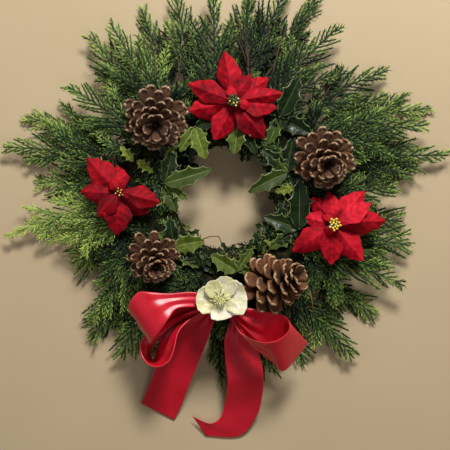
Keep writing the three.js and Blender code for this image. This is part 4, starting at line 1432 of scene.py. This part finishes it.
# ---- Bow -----------------------------------------------------------------------------------
# Each ribbon: points along its two edges, in pairs, from the knot to its end.
RIBBONS = {
    "bow_loop_upper_left": [
        ((-10.4, -129, 78), (-10.4, -139, 77)), ((-36, -116, 82), (-35, -134, 80)),
        ((-69, -117, 86), (-58, -135, 87)), ((-90, -115, 90), (-68, -146, 95)),
        ((-104, -115, 89), (-78, -160, 95)), ((-114, -125, 85), (-87, -172, 89)),
        ((-118, -136, 77), (-91, -178, 79)), ((-115, -142, 66), (-90, -180, 66)),
        ((-104, -144, 62), (-82, -172, 60)), ((-76, -137, 64), (-62, -157, 61)),
        ((-38, -129, 73), (-37, -142, 72)), ((-10.4, -129, 74.5), (-10.4, -138, 73))],
    "bow_loop_lower_left": [
        ((-10.4, -129, 59), (-10.4, -138, 57.5)), ((-44, -138, 52), (-42, -149, 43)),
        ((-80, -156, 50), (-68, -166, 30)), ((-104, -175, 53), (-89, -181, 24)),
        ((-107, -190, 58), (-96, -193, 24)), ((-101, -201, 64), (-97, -203, 27)),
        ((-91, -207, 70), (-93, -207, 30)), ((-80, -207, 75), (-90, -205, 32)),
        ((-68, -199, 78), (-88, -197, 34)), ((-62, -185, 78), (-82, -182, 38)),
        ((-56, -164, 72), (-66, -162, 46)), ((-38, -148, 66), (-43, -150, 56)),
        ((-10.4, -134, 68), (-10.4, -141, 66))],
    "bow_loop_right": [
        ((3.8, -137, 77), (3.8, -143, 69)), ((15, -163, 84), (30, -180, 62)),
        ((38, -174, 91), (55, -203, 60)), ((58, -173, 93), (70, -214, 62)),
        ((72, -164, 92), (88, -197, 58)), ((76, -153, 90), (101, -180, 54)),
        ((69, -144, 82), (87, -188, 57)), ((48, -139, 79), (57, -186, 60)),
        ((24, -134, 76), (34, -172, 61)), ((3.8, -129, 76), (3.8, -135, 68))],
    "bow_tail_left": [
        ((-10.4, -130, 63.5), (-10.4, -140, 63)), ((-28, -141, 60), (-14, -150, 58)),
        ((-54, -160, 46), (-22, -176, 45)), ((-79, -192, 30), (-37, -214, 31)),
        ((-90, -218, 22), (-47, -239, 22)), ((-100, -243, 12), (-56, -264, 11)),
        ((-110, -266, 3), (-67, -288, 1.6))],
    "bow_tail_right": [
        ((4, -131, 59), (4, -141, 58)), ((18, -143, 54), (5, -155, 51)),
        ((33, -168, 50), (-2, -177, 48)), ((40, -190, 43), (-1, -202, 40)),
        ((47, -223, 37), (2, -234, 34)), ((46, -253, 23), (-2, -264, 18)),
        ((39, -281, 12), (-8, -283, 12)), ((17, -308, 3.5), (-22, -290, 10)),
        ((-26, -308, 2.2), (-43, -281, 9))],
}
# Flat length of each ribbon, 50 mm wide, how it is held, and how deep its gathers are at its
# first end and at its last, next to the depth that would take up its full width.
RIBBON_CUTS = {
    "bow_loop_upper_left": (0.229, "folded", 0.12, 1.0),
    "bow_loop_lower_left": (0.254, "folded", 1.0, 0.5),
    "bow_loop_right": (0.219, "folded", 0.35, 1.0),
    "bow_tail_left": (0.175, "hung", 0.6, 0.0), "bow_tail_right": (0.217, "hung", 0.6, 0.0),
}
GATHER_FADE = {"folded": 1.6, "hung": 3.5}  # how soon along it the second depth takes over
RIBBON_WIDE = 0.050
RIBBON_THICK = 0.5
GATHERS = 2.25  # folds across it where it is gathered


def ribbon_grid(pairs, across=25, rows_each=8):
    """Rows of points between two smooth edges."""
    edges = [[Vector(pair[edge]) for pair in pairs] for edge in (0, 1)]
    count = (len(pairs) - 1) * rows_each
    grid = []
    for i in range(count + 1):
        first, second = (spline(edge, i / count) for edge in edges)
        grid.append([first.lerp(second, j / (across - 1)) for j in range(across)])
    return grid


def pleat(turns):
    """A creased wave between -1 and 1: flat faces with slightly rounded folds between them."""
    round_wave = math.sin(2 * math.pi * turns)
    return 0.75 * math.asin(round_wave) * 2 / math.pi + 0.25 * round_wave


def gathered(grid, first_deep, last_deep, fade_soon):
    """The grid with its spare width taken up in pleats."""
    rows, across = len(grid), len(grid[0])
    normals = grid_normals(grid)
    full = []
    for i in range(rows):
        wide = min((grid[i][0] - grid[i][-1]).length, RIBBON_WIDE / MM)
        spare = math.sqrt((RIBBON_WIDE / MM) ** 2 - wide ** 2)
        fade = smooth(i / rows * fade_soon - 0.3)
        deep = spare / (4 * GATHERS) * lerp(first_deep, last_deep, fade)
        full.append([
            grid[i][j] + normals[i][j] * (deep * pleat(GATHERS * j / (across - 1) + 0.08))
            for j in range(across)])
    return full


def make_ribbons():
    for name, pairs in RIBBONS.items():
        long, held, first_deep, last_deep = RIBBON_CUTS[name]
        grid = ribbon_grid(pairs)
        rows, across = len(grid), len(grid[0])
        middle = across // 2
        walked, along = 0.0, []
        for i in range(rows):
            walked += (grid[i][middle] - grid[i - 1][middle]).length if i else 0
            along.append(walked * MM)
        full = gathered(grid, first_deep, last_deep, GATHER_FADE[held])
        shape = Shape("along", "across")
        shape.thin(full, RIBBON_THICK,
                   along=[along[i] for i in range(rows) for _ in range(across)],
                   across=[2 * j / (across - 1) - 1 for _ in range(rows) for j in range(across)])
        piece = add_piece(f"{name}_ribbon", shape.mesh(name, [RIBBON]), "ribbon", name)


KNOT = {"left": -10, "right": 3.4, "front": 82, "back": 54, "top": -125, "foot": -146}
KNOT_WIRE = [1.2] * 3


def make_knot():
    """Ribbon wound close round the middle of the bow, in soft pleats, on its pinning wire."""
    shape = Shape("along", "across")
    rounds, across = 40, 15
    middle = Vector(((KNOT["left"] + KNOT["right"]) / 2, (KNOT["top"] + KNOT["foot"]) / 2,
                     (KNOT["front"] + KNOT["back"]) / 2))
    high, wide = (KNOT["top"] - KNOT["foot"]) / 2, (KNOT["front"] - KNOT["back"]) / 2
    points, along, side = [], [], []
    for j in range(across):
        v = 2 * j / (across - 1) - 1
        swell = 0.86 + 0.1 * (1 - v * v) - 0.035 * math.cos(j * 2.4)
        for i in range(rounds):
            angle = 2 * math.pi * i / rounds
            fold = swell + 0.012 * math.sin(5 * angle + j)
            points.append(middle + Vector((
                v * (KNOT["right"] - KNOT["left"]) / 2,
                high * math.cos(angle) * fold, wide * math.sin(angle) * fold)))
            along.append(i / rounds * 0.07)
            side.append(v * 0.9)
    ends = [tuple(range(rounds)),
            tuple(reversed(range((across - 1) * rounds, across * rounds)))]
    shape.add(points, ends + turned(ring_faces(across, rounds)), along=along, across=side)
    shape.post(middle.x, middle.y, (29, 42, KNOT["back"] + 4), KNOT_WIRE, finish=1)
    add_piece("bow_knot_ribbon", shape.mesh("bow_knot", [RIBBON, WIRE]), "ribbon", "bow_knot")


# ---- The wreath ----------------------------------------------------------------------------
make_moss()
make_cypress()
make_holly()
make_cones()
make_poinsettias()
make_stamens()
make_hellebore()
make_knot()
make_ribbons()
